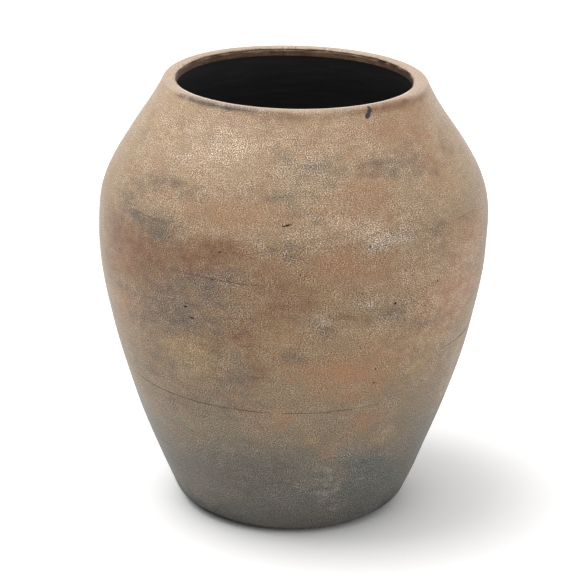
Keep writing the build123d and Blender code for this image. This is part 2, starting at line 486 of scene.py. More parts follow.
# Each mark's clouds from the top down, the front first
CLOUDS = {
    # Clay burnt brown: at the left of the widest stage, down the middle of the belly and along the lip
    Kiln.UMBER: (
        Cloud(42.0, 519.0, 50.0, 4.2, 0.88),
        Cloud(-4.0, 515.2, 46.0, 3.4, 0.58),
        Cloud(60.0, 515.0, 36.0, 5.0, 0.68),
        Cloud(-3.0, 509.5, 26.0, 4.0, 0.40),
        Cloud(31.0, 460.0, 30.0, 10.0, 0.45, tilt=4.0),
        Cloud(67.0, 459.0, 18.0, 10.0, 0.50),
        Cloud(54.0, 449.0, 26.0, 11.0, 0.54),
        Cloud(-14.0, 390.0, 26.0, 10.0, 0.24),
        Cloud(-19.0, 382.0, 34.0, 9.0, 0.80),
        Cloud(-26.0, 373.0, 44.0, 11.0, 0.70),
        Cloud(-60.0, 372.0, 42.0, 20.0, 0.66),
        Cloud(-27.0, 361.0, 28.0, 9.0, 0.46),
        Cloud(-7.0, 358.0, 26.0, 10.0, 0.55),
        Cloud(-45.0, 357.0, 62.0, 23.0, 0.82),
        Cloud(-10.0, 337.0, 18.0, 9.0, 0.55),
        Cloud(-50.0, 329.0, 34.0, 13.0, 0.62),
        Cloud(1.0, 328.0, 30.0, 19.0, 0.65),
        Cloud(-64.0, 326.0, 28.0, 18.0, 0.46),
        Cloud(-4.0, 306.0, 28.0, 11.0, 0.55),
        Cloud(-17.0, 305.0, 26.0, 10.0, 0.22),
        Cloud(16.0, 305.0, 30.0, 7.0, 0.60),
        Cloud(-13.0, 290.0, 20.0, 14.0, 0.55),
        Cloud(-15.0, 272.0, 32.0, 13.0, 0.60),
        Cloud(-25.0, 252.0, 30.0, 19.0, 0.26),
        Cloud(-11.0, 236.0, 14.0, 23.0, 0.66),
        Cloud(-142.0, 384.0, 34.0, 9.0, 0.70),
        Cloud(112.0, 352.0, 56.0, 20.0, 0.70),
        Cloud(-100.0, 350.0, 44.0, 20.0, 0.68),
        Cloud(158.0, 330.0, 48.0, 18.0, 0.70),
    ),
    # Clay reddened by flame: at the right, under the shoulder and below the belly
    Kiln.RUST: (
        Cloud(48.0, 516.0, 42.0, 4.5, 0.52),
        Cloud(56.0, 505.0, 32.0, 8.0, 0.60),
        Cloud(-15.0, 503.0, 34.0, 7.0, 0.26),
        Cloud(24.0, 502.0, 52.0, 8.0, 0.32),
        Cloud(43.0, 494.0, 26.0, 13.0, 0.60),
        Cloud(55.0, 487.0, 30.0, 12.0, 0.55),
        Cloud(24.0, 478.0, 32.0, 11.0, 0.32),
        Cloud(52.0, 470.0, 30.0, 14.0, 0.48),
        Cloud(58.0, 446.0, 56.0, 30.0, 0.40),
        Cloud(-46.0, 446.0, 60.0, 30.0, 0.24),
        Cloud(21.0, 443.0, 38.0, 12.0, 0.55),
        Cloud(-17.0, 420.0, 64.0, 13.0, 0.62),
        Cloud(21.0, 418.0, 52.0, 13.0, 0.52),
        Cloud(62.0, 367.0, 42.0, 24.0, 0.78),
        Cloud(14.0, 366.0, 34.0, 18.0, 0.80),
        Cloud(25.0, 352.0, 26.0, 12.0, 0.65),
        Cloud(-56.0, 338.0, 30.0, 16.0, 0.50),
        Cloud(43.0, 318.0, 32.0, 15.0, 0.70),
        Cloud(57.0, 314.0, 58.0, 28.0, 0.78),
        Cloud(56.0, 300.0, 42.0, 28.0, 0.50),
        Cloud(-62.0, 279.0, 34.0, 24.0, 0.50),
        Cloud(54.0, 274.0, 42.0, 20.0, 0.55),
        Cloud(18.0, 234.0, 66.0, 28.0, 0.88),
        Cloud(18.0, 197.0, 16.0, 9.0, 0.50),
        Cloud(-17.0, 192.0, 18.0, 11.0, 0.60),
        Cloud(-4.0, 174.0, 13.0, 20.0, 0.66),
        Cloud(28.0, 163.0, 28.0, 15.0, 0.54),
        Cloud(15.0, 128.0, 18.0, 17.0, 0.42),
        Cloud(150.0, 420.0, 60.0, 13.0, 0.62),
        Cloud(-150.0, 366.0, 40.0, 18.0, 0.70),
        Cloud(96.0, 236.0, 44.0, 24.0, 0.70),
        Cloud(-118.0, 228.0, 56.0, 26.0, 0.76),
        Cloud(176.0, 222.0, 60.0, 28.0, 0.78),
        Cloud(120.0, 150.0, 28.0, 16.0, 0.60),
        Cloud(-158.0, 150.0, 30.0, 16.0, 0.60),
    ),
    # Yellow, sandy clay: at the edges of the shoulder and in places below the belly
    Kiln.SAND: (
        Cloud(-60.0, 485.0, 46.0, 16.0, 0.60),
        Cloud(58.0, 432.0, 50.0, 24.0, 0.46),
        Cloud(-69.0, 279.0, 32.0, 15.0, 0.42),
        Cloud(-4.0, 278.0, 26.0, 11.0, 0.40),
        Cloud(42.0, 263.0, 24.0, 12.0, 0.50),
        Cloud(-33.0, 249.0, 26.0, 17.0, 0.78),
        Cloud(-36.0, 220.0, 32.0, 12.0, 0.40),
        Cloud(42.0, 218.0, 26.0, 14.0, 0.48),
        Cloud(10.0, 138.0, 30.0, 12.0, 0.44),
        Cloud(34.0, 138.0, 22.0, 11.0, 0.55),
        Cloud(140.0, 268.0, 36.0, 16.0, 0.70),
        Cloud(-160.0, 246.0, 34.0, 16.0, 0.70),
    ),
    # Pale skin: at the left of the shoulder, under the lip and down the right
    Kiln.PALE: (
        Cloud(17.0, 505.0, 36.0, 7.0, 0.36),
        Cloud(-16.0, 502.0, 22.0, 6.0, 0.24),
        Cloud(-34.0, 491.0, 30.0, 9.0, 0.30),
        Cloud(-61.0, 488.0, 28.0, 11.0, 0.36),
        Cloud(-17.0, 484.0, 32.0, 12.0, 0.40),
        Cloud(-31.0, 472.0, 40.0, 19.0, 0.54),
        Cloud(18.0, 417.0, 28.0, 9.0, 0.42),
        Cloud(20.0, 402.0, 50.0, 11.0, 0.58),
        Cloud(63.0, 350.0, 26.0, 20.0, 0.36),
        Cloud(15.0, 345.0, 22.0, 9.0, 0.12),
        Cloud(50.0, 300.0, 90.0, 90.0, 0.44),
        Cloud(69.0, 185.0, 26.0, 40.0, 0.45),
        Cloud(-168.0, 474.0, 44.0, 16.0, 0.65),
        Cloud(-105.0, 470.0, 42.0, 18.0, 0.65),
        Cloud(128.0, 468.0, 46.0, 18.0, 0.65),
    ),
    # Chalky bloom: a few grainy places
    Kiln.BLOOM: (
        Cloud(27.0, 388.0, 34.0, 12.0, 0.66),
        Cloud(21.0, 321.0, 22.0, 6.0, 0.45),
        Cloud(10.0, 301.0, 12.0, 7.0, 0.50),
        Cloud(12.0, 96.0, 16.0, 12.0, 0.28),
        Cloud(18.0, 58.0, 20.0, 28.0, 0.40),
        Cloud(142.0, 388.0, 32.0, 11.0, 0.66),
    ),
    # Smoke: drifts over the whole jar, most at the left, and along the lip's outer corner
    Kiln.SMOKE: (
        Cloud(-52.0, 520.0, 24.0, 2.2, 0.90),
        Cloud(-34.0, 519.9, 32.0, 2.2, 1.00),
        Cloud(-16.0, 519.5, 26.0, 2.1, 0.95),
        Cloud(2.0, 519.0, 24.0, 1.9, 0.62),
        Cloud(-35.0, 516.0, 22.0, 3.0, 0.30),
        Cloud(-33.0, 511.0, 18.0, 5.5, 0.26),
        Cloud(-4.0, 492.0, 22.0, 8.0, 0.14),
        Cloud(-4.0, 473.0, 28.0, 14.0, 0.38),
        Cloud(44.0, 463.0, 30.0, 15.0, 0.60),
        Cloud(29.0, 462.0, 36.0, 12.0, 0.55, tilt=4.0),
        Cloud(9.0, 461.0, 34.0, 15.0, 0.54),
        Cloud(-4.0, 436.0, 38.0, 9.0, 0.55),
        Cloud(-40.0, 435.0, 46.0, 10.0, 0.72),
        Cloud(-10.0, 430.0, 28.0, 9.0, 0.18),
        Cloud(-53.0, 420.0, 36.0, 9.0, 0.42),
        Cloud(4.0, 418.0, 15.0, 8.0, 0.44),
        Cloud(-61.0, 413.0, 26.0, 9.0, 0.42),
        Cloud(-55.0, 402.0, 26.0, 12.0, 0.42),
        Cloud(-47.0, 397.0, 42.0, 5.0, 0.80),
        Cloud(-43.0, 389.0, 26.0, 11.0, 0.90, tilt=-4.0),
        Cloud(27.0, 388.0, 26.0, 9.0, 0.16),
        Cloud(46.0, 388.0, 24.0, 12.0, 0.60),
        Cloud(63.0, 388.0, 18.0, 6.0, 0.50),
        Cloud(-2.0, 385.0, 22.0, 9.0, 0.65),
        Cloud(-45.0, 383.0, 26.0, 10.0, 0.26),
        Cloud(-21.0, 350.0, 30.0, 8.0, 0.50),
        Cloud(-29.0, 341.0, 40.0, 9.0, 0.70),
        Cloud(35.0, 337.0, 26.0, 9.0, 0.26),
        Cloud(-20.0, 331.0, 20.0, 15.0, 0.62),
        Cloud(-34.0, 311.0, 48.0, 21.0, 0.76, tilt=-6.0),
        Cloud(30.0, 308.0, 26.0, 9.0, 0.66),
        Cloud(-56.0, 302.0, 40.0, 11.0, 0.45),
        Cloud(26.0, 288.0, 24.0, 9.0, 0.30),
        Cloud(9.0, 288.0, 16.0, 11.0, 0.62),
        Cloud(-33.0, 287.0, 44.0, 10.0, 0.70),
        Cloud(43.0, 283.0, 38.0, 8.0, 0.62, tilt=-14.0),
        Cloud(-51.0, 270.0, 30.0, 13.0, 0.54),
        Cloud(2.0, 256.0, 14.0, 13.0, 0.58),
        Cloud(37.0, 248.0, 28.0, 7.0, 0.36, tilt=-10.0),
        Cloud(-30.0, 240.0, 80.0, 90.0, 0.36),
        Cloud(-37.0, 232.0, 26.0, 9.0, 0.36),
        Cloud(-18.0, 222.0, 18.0, 22.0, 0.62),
        Cloud(-53.0, 212.0, 42.0, 20.0, 0.46),
        Cloud(-23.0, 192.0, 28.0, 10.0, 0.26),
        Cloud(-37.0, 174.0, 42.0, 13.0, 0.42),
        Cloud(-7.0, 92.0, 34.0, 26.0, 0.66),
        Cloud(-29.0, 90.0, 50.0, 34.0, 0.50),
        Cloud(56.0, 30.0, 44.0, 20.0, 0.30),
        Cloud(-38.0, 6.0, 70.0, 15.0, 0.85),
        Cloud(-112.0, 402.0, 40.0, 9.0, 0.62),
        Cloud(172.0, 392.0, 44.0, 11.0, 0.72, tilt=-5.0),
        Cloud(100.0, 388.0, 40.0, 13.0, 0.66, tilt=4.0),
        Cloud(-130.0, 318.0, 46.0, 20.0, 0.70, tilt=6.0),
        Cloud(122.0, 305.0, 44.0, 16.0, 0.66, tilt=8.0),
        Cloud(-175.0, 280.0, 40.0, 14.0, 0.64, tilt=-6.0),
        Cloud(-120.0, 110.0, 36.0, 24.0, 0.55),
    ),
    # Blue-grey ash: on the foot
    Kiln.ASH: (
        Cloud(29.0, 104.0, 28.0, 15.0, 0.85, tilt=-10.0),
        Cloud(38.0, 79.0, 24.0, 17.0, 0.66),
        Cloud(6.0, 70.0, 20.0, 13.0, 0.44),
        Cloud(54.0, 64.0, 36.0, 34.0, 0.64),
        Cloud(0.0, 58.0, 20.0, 9.0, 0.50),
        Cloud(29.0, 57.0, 28.0, 18.0, 0.66),
        Cloud(33.0, 27.0, 30.0, 12.0, 0.70),
        Cloud(150.0, 92.0, 40.0, 20.0, 0.75),
        Cloud(-140.0, 70.0, 40.0, 24.0, 0.66),
    ),
    # Soot: on the lip's outer corner at the left, and under the heel at two sides; at the left heel, partly
    # painted contact shade
    Kiln.SOOT: (
        Cloud(-35.0, 519.7, 38.0, 1.7, 0.90),
        Cloud(-52.0, 11.0, 66.0, 14.0, 1.00),
        Cloud(62.0, 11.0, 44.0, 13.0, 0.95),
    ),
}

# How steeply a cloud fades away from its middle
CLOUD_FALL = 0.7
# How much each mark makes the sand show, how much it hides the sand, and how much it keeps dust off
SCOURED = {Kiln.SMOKE: 0.35, Kiln.BLOOM: 0.5, Kiln.PALE: 0.45, Kiln.ASH: 1.0}
BURNT = {Kiln.UMBER: 0.34, Kiln.RUST: 0.4}
GRIMY = {Kiln.SOOT: 0.9, Kiln.ASH: 0.6, Kiln.SMOKE: 0.45}
# How far a rubbed place has lost its sand
RUBBED_SMOOTH = 0.5
# Strength of the sand, of the dust and of the patchy tones at some heights
SAND_BY_HEIGHT = ((0.04, 2.02), (0.20, 1.58), (0.30, 1.88), (0.45, 2.26))
DUST_BY_HEIGHT = ((0.0, 0.3), (0.06, 0.6), (0.16, 1.0))
VEIL_BY_HEIGHT = ((0.06, 0.25), (0.20, 1.0))


@dataclass
class JarForm:
    """The jar's turned form, and the way that hands moved it.

    Attributes:
        beds: Joints of the wall from the slab's top to the neck.
        rim_height: Height of the lip's top.
        wall: Thickness of the clay wall.
        curve_points: How many points of each stage's curve its radii are read from.
        mouth_tilt: Rise of the mouth for each metre to the right, and for each metre to the back.
        tilt_start: Height where the mouth's tilt begins.
        foot_shift: How far to the right the foot stands off the axis.
        foot_reach: Height at which that has faded.
        steady_height: Height over which the base stays as it was set down.
        calm_radius: Radius inside which the floor isn't pushed about.
        ring_spacing: Rise between the rings that a wet hand drew round the wall.
        ring_height: How far those rings stand out.
        ring_wander: Size, turns round the jar and phase of each part of the rings' wander.
        ring_drift: Radians for each metre of height by which the rings' strong stretches move round.
        plain_rim: Heights from the rim where the ruffles start and where they are full.
    """

    beds: list[Bed]
    rim_height: float
    wall: float = 13.0 * MM
    curve_points: int = 60
    mouth_tilt: tuple[float, float] = (-0.005, 0.009)
    tilt_start: float = 0.44
    foot_shift: float = -0.5 * MM
    foot_reach: float = 0.12
    steady_height: float = 60.0 * MM
    calm_radius: float = 90.0 * MM
    ring_spacing: float = 11.0 * MM
    ring_height: float = 0.07 * MM
    ring_wander: tuple[tuple[float, int, float], ...] = ((1.3, 1, 0.7), (0.8, 3, 2.0))
    ring_drift: float = 40.0
    plain_rim: tuple[float, float] = (-12.0 * MM, -26.0 * MM)

    @classmethod
    def from_frame(cls) -> "JarForm":
        """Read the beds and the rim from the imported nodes."""
        beds = [Bed(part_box(wide)[1].x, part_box(top)[1].z, lean) for top, wide, lean in BED_NODES]
        return cls(beds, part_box("lip_ring")[1].z)

    def curve(self, lower: int, depth: float = 0.0) -> np.ndarray:
        """Control points of the wall between a bed and the next, on a face that lies this deep."""
        low, high = self.beds[lower], self.beds[lower + 1]
        return leaning_curve(low.point(depth), low.lean, high.point(depth), high.lean)

    def outer_radius(self, heights: np.ndarray) -> np.ndarray:
        """Outside radius of the turned wall.

        Args:
            heights: Heights on the wall.

        Returns:
            One radius for each height.
        """
        shares = np.linspace(0.0, 1.0, self.curve_points)
        line = np.vstack([cubic(self.curve(lower), shares) for lower in range(len(self.beds) - 1)])
        return np.interp(heights, line[:, 1], line[:, 0])

    def settle(self, points: np.ndarray) -> np.ndarray:
        """Move points of any piece as building by hand moved the whole jar.

        Args:
            points: Points of the turned form, one to a row.

        Returns:
            The moved points.
        """
        azimuth, radius = polar(points)
        height = points[:, 2]
        push = np.zeros(len(points))
        for wave in WAVES:
            push += wave.push(azimuth, height)
        outer = self.outer_radius(height)
        outside = smooth_step(outer - self.wall, outer, radius)
        for dent in DENTS:
            push -= dent.depth * MM * outside * np.exp(-(dent.distance(points) ** 2))
        push *= smooth_step(0.0, self.steady_height, height) * smooth_step(0.0, self.calm_radius, radius)
        moved = widened(points, 1.0 + push / np.maximum(radius, self.calm_radius))
        lift = points[:, :2] @ np.array(self.mouth_tilt)
        for rise in RIM_RISES:
            lift += rise.rise * MM * rise.share(azimuth)
        moved[:, 2] += lift * smooth_step(self.tilt_start, self.rim_height, height)
        moved[:, 0] += self.foot_shift * (1.0 - smooth_step(0.0, self.foot_reach, height))
        return moved

    def nick_depth(self, points: np.ndarray) -> np.ndarray:
        """How deep the pits, scratches and lines lie in the outside.

        Args:
            points: Points of the outside.

        Returns:
            One depth for each point.
        """
        depth = np.zeros(len(points))
        for nick in MARKS:
            bowl = np.clip(1.0 - nick.distance(points) ** 2, 0.0, 1.0)
            depth = np.maximum(depth, nick.depth * MM * np.sqrt(bowl))
        return depth

    def rings(self, points: np.ndarray) -> np.ndarray:
        """How far the drawn rings stand out, more in some places than in others.

        Args:
            points: Points of the outside.

        Returns:
            One height for each point.
        """
        azimuth, _ = polar(points)
        wander = sum(size * np.sin(turns * azimuth + phase) for size, turns, phase in self.ring_wander)
        patchy = 0.5 + 0.5 * np.sin(2.0 * azimuth + self.ring_drift * points[:, 2])
        return self.ring_height * patchy * np.sin(FULL_TURN * points[:, 2] / self.ring_spacing + wander)

    def ruffled(self, points: np.ndarray) -> np.ndarray:
        """Points shifted unevenly along the wall below the lip, so that what is laid there has uneven edges.

        Args:
            points: Points of the turned form.

        Returns:
            The shifted points.
        """
        azimuth, radius = polar(points)
        height = points[:, 2]
        along = sum(ruffle.shift(azimuth, height) for ruffle in RUFFLES_ALONG)
        up = sum(ruffle.shift(azimuth, height) for ruffle in RUFFLES_UP)
        free = MM * fade(self.rim_height, self.plain_rim, height)
        turned = azimuth + along * free / np.maximum(radius, self.calm_radius)
        return np.column_stack([radius * np.sin(turned), -radius * np.cos(turned), height + up * free])


@dataclass(frozen=True)
class Veil:
    """A patchy tone over the whole skin.

    Attributes:
        colour: Its colour.
        spacing: Spacing of its patches round the jar.
        start: Share of the noise below which the skin stays bare.
        full: Share of the noise at which it is thickest.
        most: How much it covers there.
        seed: Which noise it takes.
    """

    colour: str
    spacing: float
    start: float
    full: float
    most: float
    seed: float


@dataclass(frozen=True)
class FiredClay:
    """Unglazed earthenware, open-fired: matte, sandy to the touch, clouded by smoke and flame.

    Attributes:
        grit: Spacing of the sand in the clay, drawn as coarse as a pixel or two of the view so that it shows.
        blotch: Spacing of the small blotches.
        mottle: Spacing of the patches that a cloud breaks up into.
        drift: Spacing of the slow wander of the colour up the wall.
        drift_height: How far that wander goes.
        drag: Spacing of the fine level marks that a wet hand drew.
        drag_stretch: Spacing of those marks as a share of their length.
        flatten: How many times wider than tall the patches are.
        girth: Radius by which the skin is rolled out, less than its own, so that grains lie along it.
        inward_rise: How much a step inwards over the lip's flat top counts as a step upwards.
        blotch_share: How strong the blotches are beside the sand.
        drag_share: How strong the drawn marks are beside the sand.
        mean_grain: Mean of sand, blotches and marks together, which leaves the colour as it is.
        chalk: How much of its colour a grain loses as it gets lighter.
        richness: Saturation of a grain of mean lightness.
        patchwork: Size of the places where the grain is stronger or fainter.
        faint_and_strong: Shares of the noise that are the faintest of them, and the strongest.
        patch_strength: How strong the grain is there.
        dissolve: How far a cloud reaches through its patches, and over how much of the noise they fade.
        gap_and_patch: Shares of the noise that are a gap in a cloud, and a full patch of it.
        gap_and_patch_share: What each of those counts.
        roughness: Least and greatest roughness.
        worn_roughness: Roughness where hands rubbed the lip.
        specular: Level of the reflection, which dirt takes away.
        ior: Refractive index of the fired clay.
        dust: Share of the fine dust that lightens the clay where it turns away and nothing blackened it.
        dust_roughness: Roughness of that dust.
        relief_strength: Share of the sand's relief that shows.
        relief_depth: Depth of that relief.
        worn_and_highlight_colours: Colour of the rubbed lip by how far it is rubbed; palest along its edge, a
            painted highlight.
        dirt_and_shade_colour: Colour of what fills the pits and lines, and of the painted shade on the lip's
            band and at the heel.
        by_height: Mean colour of the clay up the wall, as shares of the jar's height.
        veils: Patchy tones over the whole skin.
        clouds: Colour of each kiln mark, and how much it covers at most.
    """

    grit: float = 1.10 * MM
    blotch: float = 6.0 * MM
    mottle: float = 13.0 * MM
    drift: float = 75.0 * MM
    drift_height: float = 60.0 * MM
    drag: float = 2.4 * MM
    drag_stretch: float = 0.07
    flatten: float = 1.35
    girth: float = 160.0 * MM
    inward_rise: float = 0.5
    blotch_share: float = 0.14
    drag_share: float = 0.15
    mean_grain: float = 0.622
    chalk: float = 0.45
    richness: float = 1.07
    patchwork: float = 24.0 * MM
    faint_and_strong: tuple[float, float] = (0.35, 0.65)
    patch_strength: tuple[float, float] = (0.7, 1.3)
    dissolve: tuple[float, float] = (1.30, 1.00)
    gap_and_patch: tuple[float, float] = (0.3, 0.7)
    gap_and_patch_share: tuple[float, float] = (0.15, 0.85)
    roughness: tuple[float, float] = (0.62, 0.82)
    worn_roughness: float = 0.42
    specular: float = 0.5
    ior: float = 1.5
    dust: float = 0.32
    dust_roughness: float = 0.4
    relief_strength: float = 0.4
    relief_depth: float = 0.3 * MM
    worn_and_highlight_colours: tuple[tuple[float, str], ...] = ((0.75, "BE9F86"), (1.0, "F6E8D6"))
    dirt_and_shade_colour: str = "211C18"
    by_height: tuple[tuple[float, str], ...] = (
        (0.00, "5B5A55"),
        (0.19, "706A5F"),
        (0.32, "8A7A64"),
        (0.48, "988165"),
        (0.68, "9D8266"),
        (0.86, "B1987B"),
        (1.00, "BEA284"),
    )
    veils: tuple[Veil, ...] = (
        Veil("A87B58", 34.0 * MM, 0.46, 0.72, 0.28, 1.0),
        Veil("6B635A", 24.0 * MM, 0.50, 0.74, 0.22, 7.0),
        Veil("C6AF92", 28.0 * MM, 0.50, 0.76, 0.22, 13.0),
    )
    clouds: tuple[tuple[Kiln, str, float], ...] = (
        (Kiln.UMBER, "79533C", 0.82),
        (Kiln.RUST, "AB8161", 0.78),
        (Kiln.SAND, "B89B6E", 0.66),
        (Kiln.PALE, "D3B8A0", 0.66),
        (Kiln.BLOOM, "BDB6A8", 0.60),
        (Kiln.SMOKE, "55504B", 0.68),
        (Kiln.ASH, "4F5755", 0.70),
        (Kiln.SOOT, "34322F", 0.75),
    )

    def make(self, rim_height: float) -> bpy.types.Material:
        """Build the material.

        Args:
            rim_height: Height of the jar, over which the clay changes colour.

        Returns:
            The finished material.
        """
        material = bpy.data.materials.new("open_fired_earthenware")
        tree = empty_tree(material)
        place = add_node(tree, "TexCoord").outputs["Object"]
        level_place = add_node(tree, "Mapping", {"Vector": place, "Scale": (1.0, 1.0, self.flatten)})
        sand = {"Vector": self.unrolled(tree, place), "Scale": 1.0 / self.grit, "Detail": 0.0}
        grain = add_node(tree, "TexNoise", sand, noise_dimensions="2D")
        stretch = (self.drag_stretch / self.drag, self.drag_stretch / self.drag, 1.0 / self.drag)
        drawn_place = add_node(tree, "Mapping", {"Vector": place, "Scale": stretch})
        drawn = add_node(tree, "TexNoise", {"Vector": drawn_place, "Scale": 1.0, "Detail": 3.0})
        worn_and_highlight, dusty, dirt_and_shade = (
            add_node(tree, "Attribute", attribute_name=name).outputs["Fac"]
            for name in ("worn_and_highlight", "dusty", "dirt_and_shade")
        )
        dust = add_node(tree, "Math", {0: dusty, 1: self.dust}, operation="MULTIPLY")
        dulled = {0: dirt_and_shade, 1: -self.specular, 2: self.specular}
        shine = add_node(tree, "Math", dulled, operation="MULTIPLY_ADD")
        colour = self.bare(tree, level_place, rim_height)
        colour = self.veiled(tree, level_place, colour)
        colour = self.clouded(tree, level_place, colour)
        # The rubbed lip's colours, and a painted highlight along the front of its inner edge
        pale = add_node(tree, "ValToRGB", {0: worn_and_highlight}, self.worn_and_highlight_colours)
        layers = {MIX_FACTOR: worn_and_highlight, MIX_A: colour, MIX_B: pale}
        colour = add_node(tree, "Mix", layers, data_type="RGBA").outputs[MIX_RESULT]
        colour = self.gritty(tree, place, grain, drawn, colour)
        # Dirt in the marks, paint smears, and painted shade on the lip's band and where the heel meets the
        # ground
        layers = {MIX_FACTOR: dirt_and_shade, MIX_A: colour, MIX_B: linear(self.dirt_and_shade_colour)}
        colour = add_node(tree, "Mix", layers, data_type="RGBA").outputs[MIX_RESULT]
        shader = add_node(
            tree,
            "BsdfPrincipled",
            {
                "Base Color": colour,
                "Roughness": self.rubbed(tree, place, worn_and_highlight),
                "IOR": self.ior,
                "Specular IOR Level": shine,
                "Sheen Weight": dust,
                "Sheen Roughness": self.dust_roughness,
                "Normal": self.relief(tree, grain, drawn),
            },
        )
        add_node(tree, "OutputMaterial", {"Surface": shader})
        return material

    def unrolled(self, tree: Tree, place: Feed) -> Feed:
        """The skin rolled out flat, so that the grains lie on it instead of being cut through by it.

        Args:
            tree: Node tree of the material.
            place: Place on the skin.

        Returns:
            How far round the jar and how far up the skin, with the flat top of the lip counted in.
        """
        across, back, height = add_node(tree, "SeparateXYZ", {0: place}).outputs
        front = add_node(tree, "Math", {0: back, 1: -1.0}, operation="MULTIPLY")
        turn = add_node(tree, "Math", {0: across, 1: front}, operation="ARCTAN2")
        along = add_node(tree, "Math", {0: turn, 1: self.girth}, operation="MULTIPLY")
        level = add_node(tree, "VectorMath", {0: place, 1: (1.0, 1.0, 0.0)}, operation="MULTIPLY")
        out = add_node(tree, "VectorMath", {0: level}, operation="LENGTH").outputs["Value"]
        up = add_node(tree, "Math", {0: out, 1: -self.inward_rise, 2: height}, operation="MULTIPLY_ADD")
        return add_node(tree, "CombineXYZ", {"X": along, "Y": up})

    def bare(self, tree: Tree, place: Feed, rim_height: float) -> Feed:
        """Mean colour of the clay, from ash grey at the foot to tan at the shoulder.

        Args:
            tree: Node tree of the material.
            place: Place on the skin, flattened.
            rim_height: Height of the jar.

        Returns:
            The colour.
        """
        height = add_node(tree, "SeparateXYZ", {0: place}).outputs["Z"]
        wander = add_node(tree, "TexNoise", {"Vector": place, "Scale": 1.0 / self.drift, "Detail": 3.0})
        swing = self.drift_height * self.flatten
        shifted = add_node(tree, "Math", {0: wander, 1: swing, 2: height}, operation="MULTIPLY_ADD")
        ends = {"From Min": 0.5 * swing, "From Max": rim_height * self.flatten + 0.5 * swing}
        level = add_node(tree, "MapRange", {"Value": shifted} | ends)
        return add_node(tree, "ValToRGB", {0: level}, self.by_height)

    def veiled(self, tree: Tree, place: Feed, colour: Feed) -> Feed:
        """Lay the patchy tones over a colour.

        Args:
            tree: Node tree of the material.
            place: Place on the skin, flattened.
            colour: Colour under the tones.

        Returns:
            The colour with the tones on it.
        """
        thick = add_node(tree, "Attribute", attribute_name="veil").outputs["Fac"]
        for veil in self.veils:
            noise = {"Vector": place, "W": veil.seed, "Scale": 1.0 / veil.spacing, "Detail": 2.5}
            patches = add_node(tree, "TexNoise", noise, noise_dimensions="4D")
            ends = {"From Min": veil.start, "From Max": veil.full, "To Max": veil.most}
            share = add_node(tree, "MapRange", {"Value": patches} | ends)
            share = add_node(tree, "Math", {0: share, 1: thick}, operation="MULTIPLY")
            layers = {MIX_FACTOR: share, MIX_A: colour, MIX_B: linear(veil.colour)}
            colour = add_node(tree, "Mix", layers, data_type="RGBA").outputs[MIX_RESULT]
        return colour

    def clouded(self, tree: Tree, place: Feed, colour: Feed) -> Feed:
        """Lay the kiln's clouds over a colour, each dissolved into patches at its edge.

        Args:
            tree: Node tree of the material.
            place: Place on the skin, flattened.
            colour: Colour under the clouds.

        Returns:
            The colour with the clouds on it.
        """
        reach, spread = self.dissolve
        ranges = dict(zip(RANGE_ENDS, self.gap_and_patch + self.gap_and_patch_share))
        for number, (mark, hex_code, most) in enumerate(self.clouds):
            noise = {"Vector": place, "W": 3.0 * number, "Scale": 1.0 / self.mottle, "Detail": 3.0}
            broken = add_node(tree, "TexNoise", noise, noise_dimensions="4D")
            patches = add_node(tree, "MapRange", {"Value": broken} | ranges)
            cloud = add_node(tree, "Attribute", attribute_name=mark.value).outputs["Fac"]
            thick = add_node(tree, "Math", {0: cloud, 1: reach, 2: patches}, operation="MULTIPLY_ADD")
            ends = {"From Min": reach - 0.5 * spread, "From Max": reach + 0.5 * spread, "To Max": most}
            share = add_node(tree, "MapRange", {"Value": thick} | ends)
            layers = {MIX_FACTOR: share, MIX_A: colour, MIX_B: linear(hex_code)}
            colour = add_node(tree, "Mix", layers, data_type="RGBA").outputs[MIX_RESULT]
        return colour

    def gritty(self, tree: Tree, place: Feed, grain: Feed, drawn: Feed, colour: Feed) -> Feed:
        """Break a colour up with sand, blotches and drawn marks, which lighten it as often as they darken it.

        Args:
            tree: Node tree of the material.
            place: Place on the skin.
            grain: The sand's noise.
            drawn: Noise of the level marks.
            colour: Colour under the sand.

        Returns:
            The sandy colour.
        """
        blotches = add_node(tree, "TexNoise", {"Vector": place, "Scale": 1.0 / self.blotch, "Detail": 1.0})
        uneven = grain
        for noise, share in ((blotches, self.blotch_share), (drawn, self.drag_share)):
            uneven = add_node(tree, "Math", {0: noise, 1: share, 2: uneven}, operation="MULTIPLY_ADD")
        centred = add_node(tree, "Math", {0: uneven, 1: self.mean_grain}, operation="SUBTRACT")
        places = add_node(tree, "TexNoise", {"Vector": place, "Scale": 1.0 / self.patchwork, "Detail": 2.0})
        ranges = dict(zip(RANGE_ENDS, self.faint_and_strong + self.patch_strength))
        patchy = add_node(tree, "MapRange", {"Value": places} | ranges)
        sandy = add_node(tree, "Attribute", attribute_name="sandy").outputs["Fac"]
        strength = add_node(tree, "Math", {0: sandy, 1: patchy}, operation="MULTIPLY")
        swing = add_node(tree, "Math", {0: centred, 1: strength}, operation="MULTIPLY")
        even = add_node(tree, "Math", {0: swing, 1: 1.0 / EYE_POWER, 2: 1.0}, operation="MULTIPLY_ADD")
        value = add_node(tree, "Math", {0: even, 1: EYE_POWER}, operation="POWER")
        rich = add_node(tree, "Math", {0: swing, 1: -self.chalk, 2: self.richness}, operation="MULTIPLY_ADD")
        return add_node(tree, "HueSaturation", {"Color": colour, "Saturation": rich, "Value": value})

    def rubbed(self, tree: Tree, place: Feed, worn_and_highlight: Feed) -> Feed:
        """Roughness, lower in patches that wet cloth went over, and lowest on the rubbed lip.

        Args:
            tree: Node tree of the material.
            place: Place on the skin.
            worn_and_highlight: How far hands rubbed it, and where a highlight is painted along the lip's
                inner edge.

        Returns:
            The roughness.
        """
        patches = add_node(tree, "TexNoise", {"Vector": place, "Scale": 1.0 / self.mottle, "Detail": 3.0})
        least, greatest = self.roughness
        rough = add_node(tree, "MapRange", {"Value": patches, "To Min": least, "To Max": greatest})
        return add_node(tree, "MapRange", {"Value": worn_and_highlight, "To Min": rough, "To Max": self.worn_roughness})

